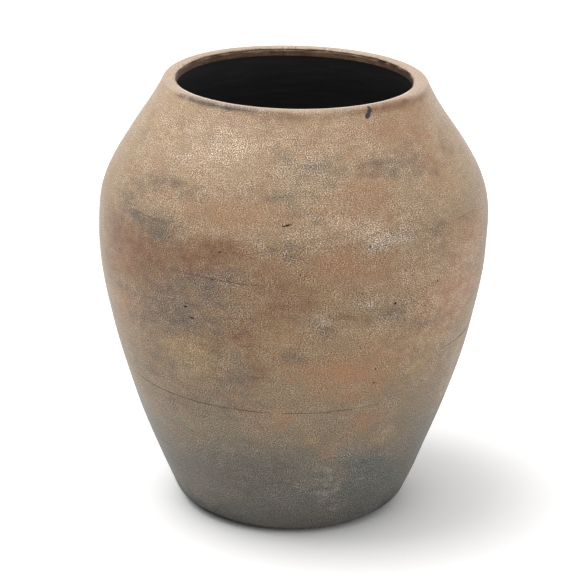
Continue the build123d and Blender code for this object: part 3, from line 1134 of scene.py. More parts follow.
    def relief(self, tree: Tree, grain: Feed, drawn: Feed) -> Feed:
        """Normal of the sand and of the fine level marks that a wet hand drew.

        Args:
            tree: Node tree of the material.
            grain: The sand's noise.
            drawn: Noise of the level marks.

        Returns:
            The normal.
        """
        both = add_node(tree, "Math", {0: grain, 1: drawn}, operation="ADD")
        relief = {"Strength": self.relief_strength, "Distance": self.relief_depth, "Height": both}
        return add_node(tree, "Bump", relief)


@dataclass(frozen=True)
class BlackSealer:
    """Bitumen paint, brushed on in level strokes: dark grey in full light, and black in the jar's depth.

    Light catches the brush marks with a dull satin sheen.

    Attributes:
        colour: Its colour; the lining's is lighter than the paint's own, painted light for the shade inside
            the jar.
        streak: Its colour where a stroke is thin.
        stroke: Spacing of the brush marks.
        stretch: That spacing as a share of their length.
        streaks: Shares of the noise where streaks start and are full.
        ridge_strength: Share of the marks' relief that shows.
        ridge: Depth of that relief.
        roughness: Least and greatest roughness.
        ior: Refractive index of bitumen.
        name: Name of the material.
    """

    # Lighter than the paint's own colour: painted light that makes up for the shade inside the jar
    colour: str = "59595A"
    streak: str = "6A6969"
    stroke: float = 4.0 * MM
    stretch: float = 0.08
    streaks: tuple[float, float] = (0.40, 0.75)
    ridge_strength: float = 0.25
    ridge: float = 0.4 * MM
    roughness: tuple[float, float] = (0.42, 0.62)
    ior: float = 1.5
    name: str = "bitumen_paint_lightened_for_shade"

    def make(self) -> bpy.types.Material:
        """Build the material.

        Returns:
            The finished material.
        """
        material = bpy.data.materials.new(self.name)
        tree = empty_tree(material)
        place = add_node(tree, "TexCoord").outputs["Object"]
        stretch = (self.stretch / self.stroke, self.stretch / self.stroke, 1.0 / self.stroke)
        along = add_node(tree, "Mapping", {"Vector": place, "Scale": stretch})
        strokes = add_node(tree, "TexNoise", {"Vector": along, "Scale": 1.0, "Detail": 4.0})
        stops = tuple(zip(self.streaks, (self.colour, self.streak)))
        colour = add_node(tree, "ValToRGB", {0: strokes}, stops)
        least, greatest = self.roughness
        rough = add_node(tree, "MapRange", {"Value": strokes, "To Min": least, "To Max": greatest})
        ridges = {"Strength": self.ridge_strength, "Distance": self.ridge, "Height": strokes}
        normal = add_node(tree, "Bump", ridges)
        paint = {"Base Color": colour, "Roughness": rough, "IOR": self.ior, "Normal": normal}
        add_node(tree, "OutputMaterial", {"Surface": add_node(tree, "BsdfPrincipled", paint)})
        return material


@dataclass
class JarPiece:
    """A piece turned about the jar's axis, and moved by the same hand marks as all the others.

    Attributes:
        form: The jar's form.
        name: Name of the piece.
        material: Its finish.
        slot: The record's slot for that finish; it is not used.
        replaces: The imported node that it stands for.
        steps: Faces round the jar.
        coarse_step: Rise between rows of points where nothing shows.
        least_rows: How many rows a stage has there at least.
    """

    form: JarForm
    name: str
    material: bpy.types.Material
    slot: str
    replaces: str
    steps: int = 420
    coarse_step: float = 14.0 * MM
    least_rows: int = 3

    def profile(self) -> np.ndarray:
        """Radius and height of each point of the section, in order."""
        raise NotImplementedError

    def closed(self) -> bool:
        """Whether the section closes on itself, instead of ending on the axis."""
        return True

    def refine(self, bm: bmesh.types.BMesh) -> None:
        """Divide faces further where the piece needs it."""

    def carve(self, points: np.ndarray) -> tuple[np.ndarray, dict[str, np.ndarray]]:
        """Cut the piece's own marks into its turned points.

        Args:
            points: Points of the turned piece.

        Returns:
            The cut points, and what lies on them by attribute name, from 0 to 1.
        """
        return points, {}

    def turned(self) -> bmesh.types.BMesh:
        """Spin the section into a closed piece with its faces outwards.

        Returns:
            The turned piece.
        """
        bm = bmesh.new()
        verts = [bm.verts.new((0.0, -radius, height)) for radius, height in self.profile()]
        ends = verts[1:] + verts[:1] if self.closed() else verts[1:]
        edges = [bm.edges.new(pair) for pair in zip(verts, ends)]
        bmesh.ops.spin(
            bm,
            geom=verts + edges,
            cent=(0.0, 0.0, 0.0),
            axis=(0.0, 0.0, 1.0),
            angle=FULL_TURN,
            steps=self.steps,
            use_merge=True,
        )
        bmesh.ops.remove_doubles(bm, verts=bm.verts, dist=WELD)
        bmesh.ops.recalc_face_normals(bm, faces=bm.faces)
        return bm

    def build(self) -> bpy.types.Object:
        """Make the piece, carve and settle it, and set it on its body.

        Returns:
            The finished object.
        """
        bm = self.turned()
        self.refine(bm)
        mesh, points = smooth_mesh(self.name, bm, self.material)
        carved, own_marks = self.carve(points)
        mesh.vertices.foreach_set("co", self.form.settle(carved).ravel())
        self.stain(mesh, points, own_marks)
        mesh.set_sharp_from_angle(angle=SHARP_ANGLE)
        mesh.update()
        piece = put_in_scene(self.name, mesh)
        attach(piece, BODY)
        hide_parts(self.replaces)
        log.info("%s: %d points, %d faces", self.name, len(mesh.vertices), len(mesh.polygons))
        return piece

    def stain(self, mesh: bpy.types.Mesh, points: np.ndarray, own_marks: dict[str, np.ndarray]) -> None:
        """Lay the kiln's clouds, each piece's own marks and the strength of the sand on the mesh as
        attributes.

        Args:
            mesh: Mesh that takes the attributes.
            points: Its points before they were moved.
            own_marks: What the piece's own marks left, by attribute name, painted shade and a painted
                highlight among them.
        """
        none = np.zeros(len(points))
        layers = {mark.value: none for mark in Kiln} | {"dirt_and_shade": none, "worn_and_highlight": none} | own_marks
        ruffled = self.form.ruffled(points)
        for mark, clouds in CLOUDS.items():
            for cloud in clouds:
                patch = cloud.strength * np.exp(-CLOUD_FALL * cloud.distance(ruffled) ** 2)
                layers[mark.value] = 1.0 - (1.0 - layers[mark.value]) * (1.0 - patch)
        scoured, brown_and_shade, grime_and_shade = (
            sum(weight * layers[mark.value] for mark, weight in weights.items())
            for weights in (SCOURED, BURNT, GRIMY)
        )
        tables = (SAND_BY_HEIGHT, DUST_BY_HEIGHT, VEIL_BY_HEIGHT)
        sand, dust, veil = (np.interp(points[:, 2], *zip(*table)) for table in tables)
        layers["sandy"] = sand * (1.0 + scoured - brown_and_shade) * (1.0 - RUBBED_SMOOTH * layers["worn_and_highlight"])
        layers["dusty"] = dust * np.clip(1.0 - (grime_and_shade + layers["dirt_and_shade"]), 0.0, 1.0)
        layers["veil"] = veil
        for name, values in layers.items():
            mesh.attributes.new(name, "FLOAT", "POINT").data.foreach_set("value", values.astype(np.float32))


@dataclass
class WallStage(JarPiece):
    """One stage of the wall between two beds, with its outside close enough together for fine marks.

    Attributes:
        lower: Number of the bed that it stands on.
        row_step: Greatest rise between rows of points on the outside.
        nick_margin: How far round a mark the faces are divided, in millimetres.
        nick_cuts: How many times each edge is cut there.
        full_dirt: Depth at which a mark is full of dirt.
        most_dirt: How much of the clay dirt then hides.
    """

    lower: int = 0
    row_step: float = 2.6 * MM
    nick_margin: float = 2.5
    nick_cuts: int = 5
    full_dirt: float = 0.8 * MM
    most_dirt: float = 0.92

    def profile(self) -> np.ndarray:
        """Up the outside from bed to bed, and down the inside.

        Returns:
            One radius and height for each point, in order.
        """
        outer, inner = self.form.curve(self.lower), self.form.curve(self.lower, self.form.wall)
        length = float(np.linalg.norm(outer[3] - outer[0]))
        shares = np.linspace(0.0, 1.0, math.ceil(length / self.row_step) + 1)
        down = np.linspace(1.0, 0.0, max(self.least_rows, math.ceil(length / self.coarse_step)))
        return np.vstack([cubic(outer, shares), cubic(inner, down)])

    def outside(self, points: np.ndarray) -> np.ndarray:
        """Which points lie on the outside of the wall."""
        _, radius = polar(points)
        return radius > self.form.outer_radius(points[:, 2]) - 0.5 * self.form.wall

    def refine(self, bm: bmesh.types.BMesh) -> None:
        """Divide the faces round each mark of this stage.

        Args:
            bm: The turned stage.
        """
        points = np.array([vert.co for vert in bm.verts])
        shown = self.outside(points)
        near = np.zeros(len(points), dtype=bool)
        for nick in MARKS:
            length, width = nick.half_length + self.nick_margin, nick.half_width + self.nick_margin
            around = replace(nick, half_length=length, half_width=width)
            near |= shown & (around.distance(points) < 1.0)
        chosen = {vert for vert, close in zip(bm.verts, near) if close}
        edges = {edge for vert in chosen for edge in vert.link_edges if edge.other_vert(vert) in chosen}
        bmesh.ops.subdivide_edges(bm, edges=list(edges), cuts=self.nick_cuts, use_grid_fill=True)

    def carve(self, points: np.ndarray) -> tuple[np.ndarray, dict[str, np.ndarray]]:
        """Draw the rings and every mark into the outside.

        Args:
            points: Points of the turned stage.

        Returns:
            The cut points, and what lies on them by attribute name, from 0 to 1.
        """
        shown = self.outside(points)
        _, radius = polar(points)
        nick = self.form.nick_depth(points)
        inward = np.where(shown, nick - self.form.rings(points), 0.0)
        dirt_and_shade = np.where(shown, np.clip(nick / self.full_dirt, 0.0, self.most_dirt), 0.0)
        return widened(points, 1.0 - inward / radius), {"dirt_and_shade": dirt_and_shade}


@dataclass
class BaseSlab(JarPiece):
    """The floor of the jar: a disc with a rounded heel, which stands on its flat underside.

    Attributes:
        heel_rounding: Radius of the heel.
        ground_angle: Degrees at which the heel meets the ground.
        scuffs: Where the heel is scuffed back: azimuth and half span in degrees, and how far.
        scuff_foot: Height up to which it is scuffed that far.
        foot_dirt_and_shade: Heights where the darkening round the foot starts and is full: soil and painted
            contact shade.
        foot_dirt_and_shade_strength: How much of the clay that darkening hides.
        contact_dirt_and_shade_height: Height in millimetres of the dark band at the ground, and what it has
            more at the first scuff.
        contact_dirt_and_shade_edge: Height over which that band fades.
        contact_dirt_and_shade_strength: How much of the clay it hides at the first scuff; it is soil and
            painted contact shade.
        heel_rows: Rows of points round the heel.
        side_rows: Rows up the side above it.
        flat_rows: Rows across the underside, and across the top.
    """

    heel_rounding: float = 33.5 * MM
    ground_angle: float = 15.0
    scuffs: tuple[tuple[float, float, float], ...] = ((-52.0, 34.0, 0.6 * MM), (46.0, 32.0, 1.5 * MM))
    scuff_foot: float = 2.0 * MM
    foot_dirt_and_shade: tuple[float, float] = (9.0 * MM, 1.0 * MM)
    foot_dirt_and_shade_strength: float = 0.12
    contact_dirt_and_shade_height: tuple[float, float] = (8.5, 5.5)
    contact_dirt_and_shade_edge: float = 3.0 * MM
    contact_dirt_and_shade_strength: float = 0.88
    heel_rows: int = 14
    side_rows: int = 7
    flat_rows: int = 10

    def closed(self) -> bool:
        """The section ends on the axis."""
        return False

    def profile(self) -> np.ndarray:
        """Along the underside, round the heel, up to the bed and back to the axis.

        Returns:
            One radius and height for each point, in order.
        """
        bed, rounding = self.form.beds[0], self.heel_rounding
        lean, first = math.radians(bed.lean), math.radians(self.ground_angle)
        centre_height = rounding * math.cos(first)
        side_there = bed.radius - (bed.height - centre_height) * math.tan(lean)
        centre = side_there - rounding / math.cos(lean)
        angles = np.linspace(first, 0.5 * math.pi - lean, self.heel_rows)
        heel = np.column_stack(
            [centre + rounding * np.sin(angles), centre_height - rounding * np.cos(angles)]
        )
        side = np.linspace(heel[-1], bed.point(), self.side_rows)
        under = np.linspace((0.0, 0.0), (heel[0, 0], 0.0), self.flat_rows)
        top = np.linspace(bed.point(), (0.0, bed.height), self.flat_rows)
        return np.vstack([under[:-1], heel, side[1:], top[1:]])

    def carve(self, points: np.ndarray) -> tuple[np.ndarray, dict[str, np.ndarray]]:
        """Wear the heel back at two sides, and darken it towards the ground with soil and painted contact
        shade.

        Args:
            points: Points of the turned slab.

        Returns:
            The cut points, and what lies on them by attribute name, from 0 to 1.
        """
        azimuth, height = np.degrees(polar(points)[0]), points[:, 2]
        shares = [np.exp(-(((azimuth - side) / span) ** 2)) for side, span, _ in self.scuffs]
        scuff = sum(deep * share for (_, _, deep), share in zip(self.scuffs, shares))
        low = smooth_step(self.form.beds[0].height, self.scuff_foot, height)
        carved = widened(points, 1.0 - scuff * low / self.form.beds[0].radius)
        # The foot darkens towards the ground, most at the first scuff: soil and painted contact shade
        contact_dirt_and_shade_top = (self.contact_dirt_and_shade_height[0] + self.contact_dirt_and_shade_height[1] * shares[0]) * MM
        dirt_and_shade = self.foot_dirt_and_shade_strength * smooth_step(*self.foot_dirt_and_shade, height)
        dirt_and_shade += self.contact_dirt_and_shade_strength * shares[0] * smooth_step(0.0, self.contact_dirt_and_shade_edge, contact_dirt_and_shade_top - height)
        return carved, {"dirt_and_shade": dirt_and_shade}


@dataclass
class CornerCoil(JarPiece):
    """The coil pressed into the inside corner between the floor and the wall."""

    width: float = 16.0 * MM

    def profile(self) -> np.ndarray:
        """The corner itself, the coil's edge on the wall and its edge on the floor.

        Returns:
            One radius and height for each point, in order.
        """
        bed = self.form.beds[0]
        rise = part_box("corner_coil")[1].z - bed.height
        corner = bed.point(self.form.wall)
        on_wall = corner + np.array([rise * math.tan(math.radians(bed.lean)), rise])
        return np.array([corner, on_wall, corner - np.array([self.width, 0.0])])


@dataclass
class SealingCoat(JarPiece):
    """The black coat over the floor, the corner coil and the inside of every stage.

    Attributes:
        thickness: Its thickness.
        coil: The corner coil that it goes over.
    """

    thickness: float = 1.0 * MM
    coil: Optional[CornerCoil] = None

    def closed(self) -> bool:
        """The section ends on the axis."""
        return False

    def face(self, depth: float) -> np.ndarray:
        """Points from the axis, over the coil and up the wall.

        Args:
            depth: How far off the clay they lie.

        Returns:
            One radius and height for each point, in order.
        """
        _, on_wall, on_floor = self.coil.profile()
        lift = np.array([0.0, depth])
        first, second = self.form.beds[:2]
        start = on_wall - np.array([depth / math.cos(math.radians(first.lean)), 0.0])
        deep = self.form.wall + depth
        curves = [leaning_curve(start, first.lean, second.point(deep), second.lean)]
        curves += [self.form.curve(bed, deep) for bed in range(1, len(self.form.beds) - 1)]
        runs = [np.array([[0.0, first.height]]) + lift, on_floor[None, :] + lift]
        for curve in curves:
            length = np.linalg.norm(curve[3] - curve[0])
            rows = max(self.least_rows, math.ceil(length / self.coarse_step))
            runs.append(cubic(curve, np.linspace(0.0, 1.0, rows + 1)[:-1]))
        runs.append(curves[-1][3][None, :])
        return np.vstack(runs)

    def profile(self) -> np.ndarray:
        """Out along the clay and back along the free face."""
        return np.vstack([self.face(0.0), self.face(self.thickness)[::-1]])


@dataclass(frozen=True)
class Smear:
    """A dark stretch of the line inside the mouth.

    Attributes:
        azimuth: Degrees round the jar of its middle.
        half_span: Half its span, in degrees.
        strength: How dark it is.
        core: Share of it that is fully as dark.
    """

    azimuth: float
    half_span: float
    strength: float
    core: float = 0.3

    def share(self, azimuth: np.ndarray) -> np.ndarray:
        """How dark it is at those azimuths, in radians."""
        off = np.abs((np.degrees(azimuth) - self.azimuth + 180.0) % 360.0 - 180.0)
        return self.strength * (1.0 - smooth_step(self.core * self.half_span, self.half_span, off))


SMEARS = (
    Smear(131.0, 5.0, 0.95),
    Smear(122.0, 6.0, 0.75),
    Smear(108.0, 9.0, 0.55),
    Smear(142.0, 6.0, 0.60),
    Smear(156.0, 9.0, 0.50),
    Smear(174.0, 9.0, 0.50),
    Smear(-166.0, 6.0, 0.35),
    Smear(-150.0, 7.0, 0.55),
    Smear(-136.0, 6.0, 0.70),
    Smear(-120.0, 8.0, 0.65),
    Smear(-104.0, 8.0, 0.55),
    Smear(-40.0, 20.0, 0.30),
    Smear(30.0, 16.0, 0.25),
)


@dataclass
class LipRing(JarPiece):
    """The lip: the wall turned upright and rounded over, with a trimmed inner edge and a band in the mouth.

    Attributes:
        side_height: Height of the lip's side, before it rounds over.
        side_lean: Lean of that side from upright at its top, in degrees.
        round_over: How far the round keeps to the side's lean, and to the level of the crown.
        inner_set: How far the trimmed edge stands back from the band below it.
        inner_round: How far the inner round keeps to the level of the crown.
        inner_corner: How far off the trimmed edge, and below the top, that round turns down.
        edge_drop: How far below the top the trimmed edge lies.
        notch: Depth of the trimmed line under the edge.
        band_height: Height of the band.
        band_flare: How much wider the band is at its top.
        overhang: How far the band stands in past the wall.
        ragged: How far the edge wanders.
        wanders: Turns round the jar and phase of each part of that.
        wander_fall: How quickly those parts get smaller with more turns.
        trim_reach: How far up and down from the trimmed line it wanders.
        in_mouth: How far out from the band the inside of the mouth starts, and where it is full.
        drawn_out: The same for the clay that moves where the mouth is wide.
        smear: How far below the trimmed line the dark smears lie, and how far they spread.
        brown_and_shade: Heights from the trimmed line where the band of painted shade starts and where it is
            full.
        band_shade_brown: How brown that painted shade makes the band.
        band_shade_dark: How dark that painted shade makes the band, all round and more at the right.
        most_dirt: How much of the clay the paint smears and the painted shade hide at most.
        rub: How wide a band of the top hands rubbed pale, at the front and at the sides.
        rub_front: Cosines of the azimuth between which that width changes.
        rub_edge: How far out from that width the rubbing starts, and where it is full.
        rub_foot: Heights from the bed where it starts and where it is full.
        rub_strength: How pale it is.
        painted_highlight_edge: How far out from the band the painted highlight on the inner edge starts, and
            where it is full.
        painted_highlight_top: Heights from the top where it starts and where it is full.
        painted_highlight_front: Cosines of the azimuth where it starts and where it is full.
        side_rows: Rows of points up the side.
        round_rows: Rows over each half of the round.
        band_rows: Rows down the band.
    """

    side_height: float = 4.0 * MM
    side_lean: float = -18.0
    round_over: tuple[float, float] = (4.6 * MM, 6.2 * MM)
    inner_set: float = 0.9 * MM
    inner_round: float = 5.0 * MM
    inner_corner: tuple[float, float] = (0.4 * MM, 0.3 * MM)
    edge_drop: float = 1.9 * MM
    notch: float = 0.8 * MM
    band_height: float = 5.6 * MM
    band_flare: float = 0.2 * MM
    overhang: float = 3.7 * MM
    ragged: float = 0.55 * MM
    wanders: tuple[tuple[int, float], ...] = ((11, 0.6), (23, 2.9), (41, 4.4), (67, 1.3), (97, 5.1))
    wander_fall: float = 0.02
    trim_reach: float = 1.6 * MM
    in_mouth: tuple[float, float] = (5.0 * MM, 2.0 * MM)
    drawn_out: tuple[float, float] = (11.0 * MM, 2.0 * MM)
    smear: tuple[float, float] = (0.3 * MM, 1.0 * MM)
    brown_and_shade: tuple[float, float] = (0.5 * MM, -1.0 * MM)
    band_shade_brown: float = 0.9
    band_shade_dark: tuple[float, float] = (0.25, 0.55)
    most_dirt: float = 0.95
    rub: tuple[float, float] = (9.0 * MM, 17.0 * MM)
    rub_front: tuple[float, float] = (0.35, 0.75)
    rub_edge: tuple[float, float] = (2.5 * MM, -1.5 * MM)
    rub_foot: tuple[float, float] = (4.0 * MM, 8.0 * MM)
    rub_strength: float = 0.8
    painted_highlight_edge: tuple[float, float] = (8.5 * MM, 5.0 * MM)
    painted_highlight_top: tuple[float, float] = (-2.6 * MM, -1.2 * MM)
    painted_highlight_front: tuple[float, float] = (-0.1, 0.5)
    side_rows: int = 8
    round_rows: int = 14
    band_rows: int = 6

    def inner_radius(self) -> float:
        """Radius of the band inside the mouth."""
        return self.form.beds[-1].point(self.form.wall)[0] - self.overhang

    def trimmed_line(self) -> float:
        """Height of the line between the band and the trimmed edge."""
        return 0.5 * (self.form.beds[-1].height + self.band_height + self.form.rim_height - self.edge_drop)

    def outside_line(self) -> np.ndarray:
        """Points up the outside from the bed and over to the crown.

        Returns:
            One radius and height for each point, in order.
        """
        neck, top = self.form.beds[-1], self.form.rim_height
        lean = math.radians(self.side_lean)
        mean_lean = math.radians(0.5 * (neck.lean + self.side_lean))
        shoulder = neck.point() + self.side_height * np.array([math.tan(mean_lean), 1.0])
        crown = np.array([0.5 * (shoulder[0] + self.inner_radius()), top])
        side = leaning_curve(neck.point(), neck.lean, shoulder, self.side_lean)
        leave = shoulder + self.round_over[0] * np.array([math.sin(lean), math.cos(lean)])
        over = np.array([shoulder, leave, crown + [self.round_over[1], 0.0], crown])
        up_side = cubic(side, np.linspace(0.0, 1.0, self.side_rows))
        return np.vstack([up_side[:-1], cubic(over, np.linspace(0.0, 1.0, self.round_rows))])

    def profile(self) -> np.ndarray:
        """Up the outside, over the top, down the inner band and back along the bed.

        Returns:
            One radius and height for each point, in order.
        """
        low, top = self.form.beds[-1].height, self.form.rim_height
        inner = self.inner_radius()
        edge = inner + self.inner_set
        outside = self.outside_line()
        crown = outside[-1]
        corner = [edge + self.inner_corner[0], top - self.inner_corner[1]]
        inwards = np.array([crown, crown - [self.inner_round, 0.0], corner, [edge, top - self.edge_drop]])
        heights = np.linspace(low + self.band_height, low, self.band_rows)
        band = np.column_stack([inner + self.band_flare * (heights - low) / self.band_height, heights])
        return np.vstack(
            [
                outside[:-1],
                cubic(inwards, np.linspace(0.0, 1.0, self.round_rows)),
                [[edge + self.notch, self.trimmed_line()]],
                band,
                self.form.beds[-1].point(self.form.wall)[None, :],
            ]
        )

    def wander(self, azimuth: np.ndarray, shift: float) -> np.ndarray:
        """How the trimmed edge wanders round the jar.

        Args:
            azimuth: Azimuths in radians.
            shift: How far its start is shifted round.

        Returns:
            One share for each azimuth, from about -3 to 3.
        """
        return sum(
            np.sin(turns * azimuth + phase + shift) / (1.0 + self.wander_fall * turns)
            for turns, phase in self.wanders
        )

    def carve(self, points: np.ndarray) -> tuple[np.ndarray, dict[str, np.ndarray]]:
        """Let the trimmed edge wander, smear paint on its line, paint shade on the band, rub the top and
        paint a highlight.

        Args:
            points: Points of the turned lip.

        Returns:
            The cut points, and what lies on them by attribute name, from 0 to 1.
        """
        azimuth, radius = polar(points)
        height, inner, line = points[:, 2], self.inner_radius(), self.trimmed_line()
        inside = fade(inner, self.in_mouth, radius)
        near = inside * np.exp(-(((height - line) / self.trim_reach) ** 2))
        out, up = (self.wander(azimuth, shift) for shift in (0.0, 2.0))
        wide = sum(rise.widen * rise.share(azimuth) for rise in RIM_RISES)
        wide = MM * fade(inner, self.drawn_out, radius) * wide
        carved = widened(points, 1.0 + (wide + self.ragged * near * out) / radius)
        carved[:, 2] += 0.5 * self.ragged * near * up
        below, spread = self.smear
        dirt_and_shade = np.max([smear.share(azimuth) for smear in SMEARS], axis=0)
        dirt_and_shade *= np.exp(-(((height - line + below) / spread) ** 2))
        # The band under the trimmed edge is painted browner and darker, all round and more at the right:
        # painted shade
        band = inside * fade(line, self.brown_and_shade, height)
        everywhere, rightward = self.band_shade_dark
        grime_and_shade = (everywhere + rightward * np.clip(np.sin(azimuth), 0.0, 1.0) ** 4) * band
        own_marks = {
            "dirt_and_shade": inside * np.clip(dirt_and_shade + grime_and_shade, 0.0, self.most_dirt),
            "worn_and_highlight": self.rubbed(points, band),
            "umber": self.band_shade_brown * band,
        }
        return carved, own_marks

    def rubbed(self, points: np.ndarray, band: np.ndarray) -> np.ndarray:
        """How far hands rubbed the top pale, with a painted highlight along the front of its inner edge.

        Args:
            points: Points of the turned lip.
            band: How far each lies on the band of painted shade in the mouth, which nobody rubs.

        Returns:
            One share for each point.
        """
        azimuth, radius = polar(points)
        height, inner, facing = points[:, 2], self.inner_radius(), np.cos(azimuth)
        front, side = self.rub
        reach = inner + (side - (side - front) * smooth_step(*self.rub_front, facing))
        rubbed = fade(reach, self.rub_edge, radius) * (1.0 - band)
        rubbed *= fade(self.form.beds[-1].height, self.rub_foot, height)
        # A painted highlight along the front of the inner edge, laid in with the rubbing
        edge = fade(inner, self.painted_highlight_edge, radius)
        edge *= fade(self.form.rim_height, self.painted_highlight_top, height)
        edge *= smooth_step(*self.painted_highlight_front, facing)
        return np.maximum(self.rub_strength * rubbed, edge)


@dataclass(frozen=True)
class Drop:
    """One drop of spilt paint.

    Attributes:
        azimuth: Degrees round the jar of its middle.
        climb: How far up the lip from its bed, in millimetres.
        half_length: Half its length, in millimetres.
        half_width: Half its width, in millimetres.
        slant: Degrees that it leans to the right.
    """

    azimuth: float
    climb: float
    half_length: float
    half_width: float
    slant: float


@dataclass
class PaintDrip:
    """Black paint that ran over the lip and dried there in a few flat drops.

    Attributes:
        lip: The lip that it lies on.
        material: Its finish.
        slot: The record's slot for that finish; it is not used.
        drops: The drops, largest first.
        thickness: How far the largest stands off the clay.
        taper: How much narrower a drop is towards its upper end.
        lowest: Share of the shoulder's curve above which a drop can lie.
        rows: Points of that curve that drops are laid on.
        fineness: How many times the dome of a drop is divided.
    """

    lip: LipRing
    material: bpy.types.Material
    slot: str
    drops: tuple[Drop, ...] = (
        Drop(31.9, 1.8, 4.8, 2.9, 42.0),
        Drop(33.1, 6.4, 4.0, 2.8, 42.0),
        Drop(33.3, 11.0, 2.2, 2.0, 0.0),
    )
    thickness: float = 0.8 * MM
    taper: float = 0.12
    lowest: float = 0.85
    rows: int = 14
    fineness: int = 3

    def build(self) -> bpy.types.Object:
        """Lay each drop on the lip as a flat dome that follows the lip's curve.

        Returns:
            The finished object.
        """
        form = self.lip.form
        below = cubic(form.curve(len(form.beds) - 2), np.linspace(self.lowest, 1.0, self.rows))[:-1]
        line = np.vstack([below, self.lip.outside_line()])
        run = np.concatenate([[0.0], np.cumsum(np.linalg.norm(np.diff(line, axis=0), axis=1))])
        run -= run[len(below)]
        slope = np.gradient(line, run, axis=0)
        bm = bmesh.new()
        for drop in self.drops:
            made = bmesh.ops.create_icosphere(bm, subdivisions=self.fineness, radius=1.0)
            cos, sin = math.cos(math.radians(drop.slant)), math.sin(math.radians(drop.slant))
            for vert in made["verts"]:
                along = vert.co.x * drop.half_length * MM
                across = vert.co.y * drop.half_width * MM * (1.0 - self.taper * vert.co.x)
                climb = drop.climb * MM + along * cos - across * sin
                sideways = along * sin + across * cos
                radius, height = (np.interp(climb, run, line[:, axis]) for axis in (0, 1))
                lean = [np.interp(climb, run, slope[:, axis]) for axis in (0, 1)]
                lift = vert.co.z * self.thickness * drop.half_width / self.drops[0].half_width
                radius += lift * lean[1]
                azimuth = math.radians(drop.azimuth) + sideways / radius
                vert.co = (radius * math.sin(azimuth), -radius * math.cos(azimuth), height - lift * lean[0])
        bmesh.ops.recalc_face_normals(bm, faces=bm.faces)
        mesh, points = smooth_mesh("paint_drip", bm, self.material)
        mesh.vertices.foreach_set("co", form.settle(points).ravel())
        mesh.update()
        piece = put_in_scene("paint_drip", mesh)
        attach(piece, BODY)
        log.info("paint_drip: %d drops, %d points", len(self.drops), len(mesh.vertices))
        return piece


@dataclass(frozen=True)
class SoftLight:
    """A far soft light: the way to it from the jar, its strength, and the degrees of sky that it fills."""

    name: str
    towards: tuple[float, float, float]
    strength: float
    spread: float


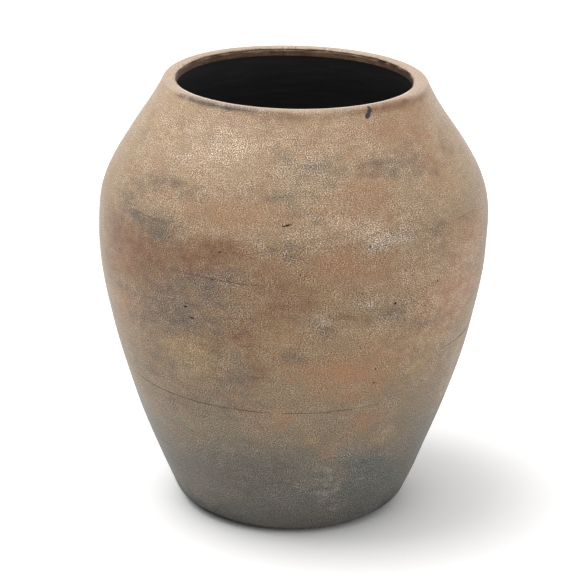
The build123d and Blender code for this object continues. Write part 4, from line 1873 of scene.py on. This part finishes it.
@dataclass
class Studio:
    """A white paper floor, soft light from nearly overhead and from all round, and the photograph's camera.

    Attributes:
        frame_pixels: Width of the photograph's frame.
        focal_pixels: Focal length in those pixels.
        camera: Where the camera stands.
        aim: What it looks at.
        roll: Degrees that the camera leans.
        sensor: Sensor width in millimetres.
        sight: How far the camera sees.
        floor_half: Half the floor's width.
        paper: Whiteness of the floor as it lights the jar, and as the camera shows it, overexposed.
        fill: Mean strength of the light from all round.
        bright_side: The side where that light is strongest.
        side_gain: How much stronger it is there than its mean, and how much weaker opposite.
        lamps: The soft lights.
    """

    frame_pixels: float = 578.0
    focal_pixels: float = 2346.9
    camera: tuple[float, float, float] = (0.0, -2.6563, 1.19435)
    aim: tuple[float, float, float] = (-0.00398, 0.0, 0.25997)
    roll: float = 0.6426
    sensor: float = 36.0
    sight: float = 40.0
    floor_half: float = 9.0
    paper: tuple[float, float] = (0.92, 1.33)
    fill: float = 0.58
    bright_side: tuple[float, float, float] = (0.80, 0.60, 0.0)
    side_gain: float = 0.50
    lamps: tuple[SoftLight, ...] = (
        SoftLight("overhead_left", (-0.36, 0.0, 1.0), 1.10, 38.0),
        SoftLight("broad_left", (-0.36, 0.0, 1.0), 1.00, 86.0),
    )

    def set_up(self) -> None:
        """Make the floor, the lights and the camera."""
        bpy.context.scene.view_settings.view_transform = "Standard"
        self.lay_floor()
        self.light()
        self.look()

    def shown(self, tree: Tree) -> Feed:
        """Whether the camera sees a place, straight or in a mirror or through glass.

        Args:
            tree: Node tree of a material or of the world.

        Returns:
            1 where it does, and 0 elsewhere.
        """
        rays = add_node(tree, "LightPath").outputs
        seen = rays["Is Camera Ray"]
        for ray in ("Is Glossy Ray", "Is Transmission Ray"):
            seen = add_node(tree, "Math", {0: seen, 1: rays[ray]}, operation="MAXIMUM")
        return seen

    def lay_floor(self) -> None:
        """Lay the paper floor, which shows paler to the camera than it lights."""
        material = bpy.data.materials.new("white_studio_paper")
        tree = empty_tree(material)
        lighting, showing = self.paper
        white = add_node(tree, "MapRange", {"Value": self.shown(tree), "To Min": lighting, "To Max": showing})
        paper = add_node(tree, "BsdfDiffuse", {"Color": white})
        add_node(tree, "OutputMaterial", {"Surface": paper})
        bm = bmesh.new()
        bmesh.ops.create_grid(bm, x_segments=4, y_segments=4, size=self.floor_half)
        mesh, _ = smooth_mesh("floor", bm, material)
        floor = put_in_scene("floor", mesh)

    def light(self) -> None:
        """Light the jar from all round, more from one side, and most from the soft lights."""
        world = bpy.data.worlds.new("white_studio")
        bpy.context.scene.world = world
        tree = empty_tree(world)
        way = add_node(tree, "TexCoord").outputs["Generated"]
        sides = add_node(tree, "VectorMath", {0: way, 1: self.bright_side}, operation="DOT_PRODUCT")
        low, high = self.fill * (1.0 - self.side_gain), self.fill * (1.0 + self.side_gain)
        ends = {"From Min": -1.0, "To Min": low, "To Max": high}
        around = add_node(tree, "MapRange", {"Value": sides.outputs["Value"]} | ends)
        strength = add_node(tree, "MapRange", {"Value": self.shown(tree), "To Min": around, "To Max": 1.0})
        sky = add_node(tree, "Background", {"Strength": strength})
        add_node(tree, "OutputWorld", {"Surface": sky})
        for lamp in self.lamps:
            data = bpy.data.lights.new(lamp.name, "SUN")
            data.energy = lamp.strength
            data.angle = math.radians(lamp.spread)
            light = put_in_scene(lamp.name, data)
            light.location = lamp.towards
            light.rotation_euler = Vector(lamp.towards).to_track_quat("Z", "Y").to_euler()

    def look(self) -> None:
        """Set the camera where the photograph was taken from."""
        data = bpy.data.cameras.new("camera")
        data.sensor_width = self.sensor
        data.lens = self.sensor * self.focal_pixels / self.frame_pixels
        data.clip_end = self.sight
        forward = (Vector(self.aim) - Vector(self.camera)).normalized()
        level = forward.cross(Vector((0.0, 0.0, 1.0))).normalized()
        upright = level.cross(forward)
        turn = math.radians(self.roll)
        right = math.cos(turn) * level + math.sin(turn) * upright
        up = math.cos(turn) * upright - math.sin(turn) * level
        turned = Matrix((right, up, -forward)).transposed().to_4x4()
        camera = put_in_scene("camera", data)
        camera.matrix_world = Matrix.Translation(self.camera) @ turned
        bpy.context.scene.camera = camera


def main() -> None:
    """Load the frame, build every piece on it and set up the studio."""
    logging.basicConfig(level=logging.INFO, format="%(name)s: %(message)s")
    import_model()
    form = JarForm.from_frame()
    clay = FiredClay().make(form.rim_height)
    sealer = BlackSealer().make()
    clay_slot, sealer_slot = "fired_clay", "black_sealer"
    BaseSlab(form, "slab_with_heel", clay, clay_slot, "base_slab").build()
    coil = CornerCoil(form, "inside_corner_coil", clay, clay_slot, "corner_coil")
    coil.build()
    stages = ("foot_drum", "lower_belt_coil", "belly_drum", "upper_belt_coil", "shoulder_drum")
    for lower, node in enumerate(stages):
        WallStage(form, f"{node}_wall", clay, clay_slot, node, lower=lower).build()
    lip = LipRing(form, "rolled_lip", clay, clay_slot, "lip_ring")
    lip.build()
    # The same paint as the lining in a darker colour, where it lies in full light; the lining's colour is
    # painted light
    spilt = BlackSealer("342F2D", "453D3A", name="spilt_bitumen_paint").make()
    PaintDrip(lip, spilt, sealer_slot).build()
    SealingCoat(form, "black_lining", sealer, sealer_slot, "sealing_coat", coil=coil).build()
    Studio().set_up()


if __name__ == "__main__":
    main()
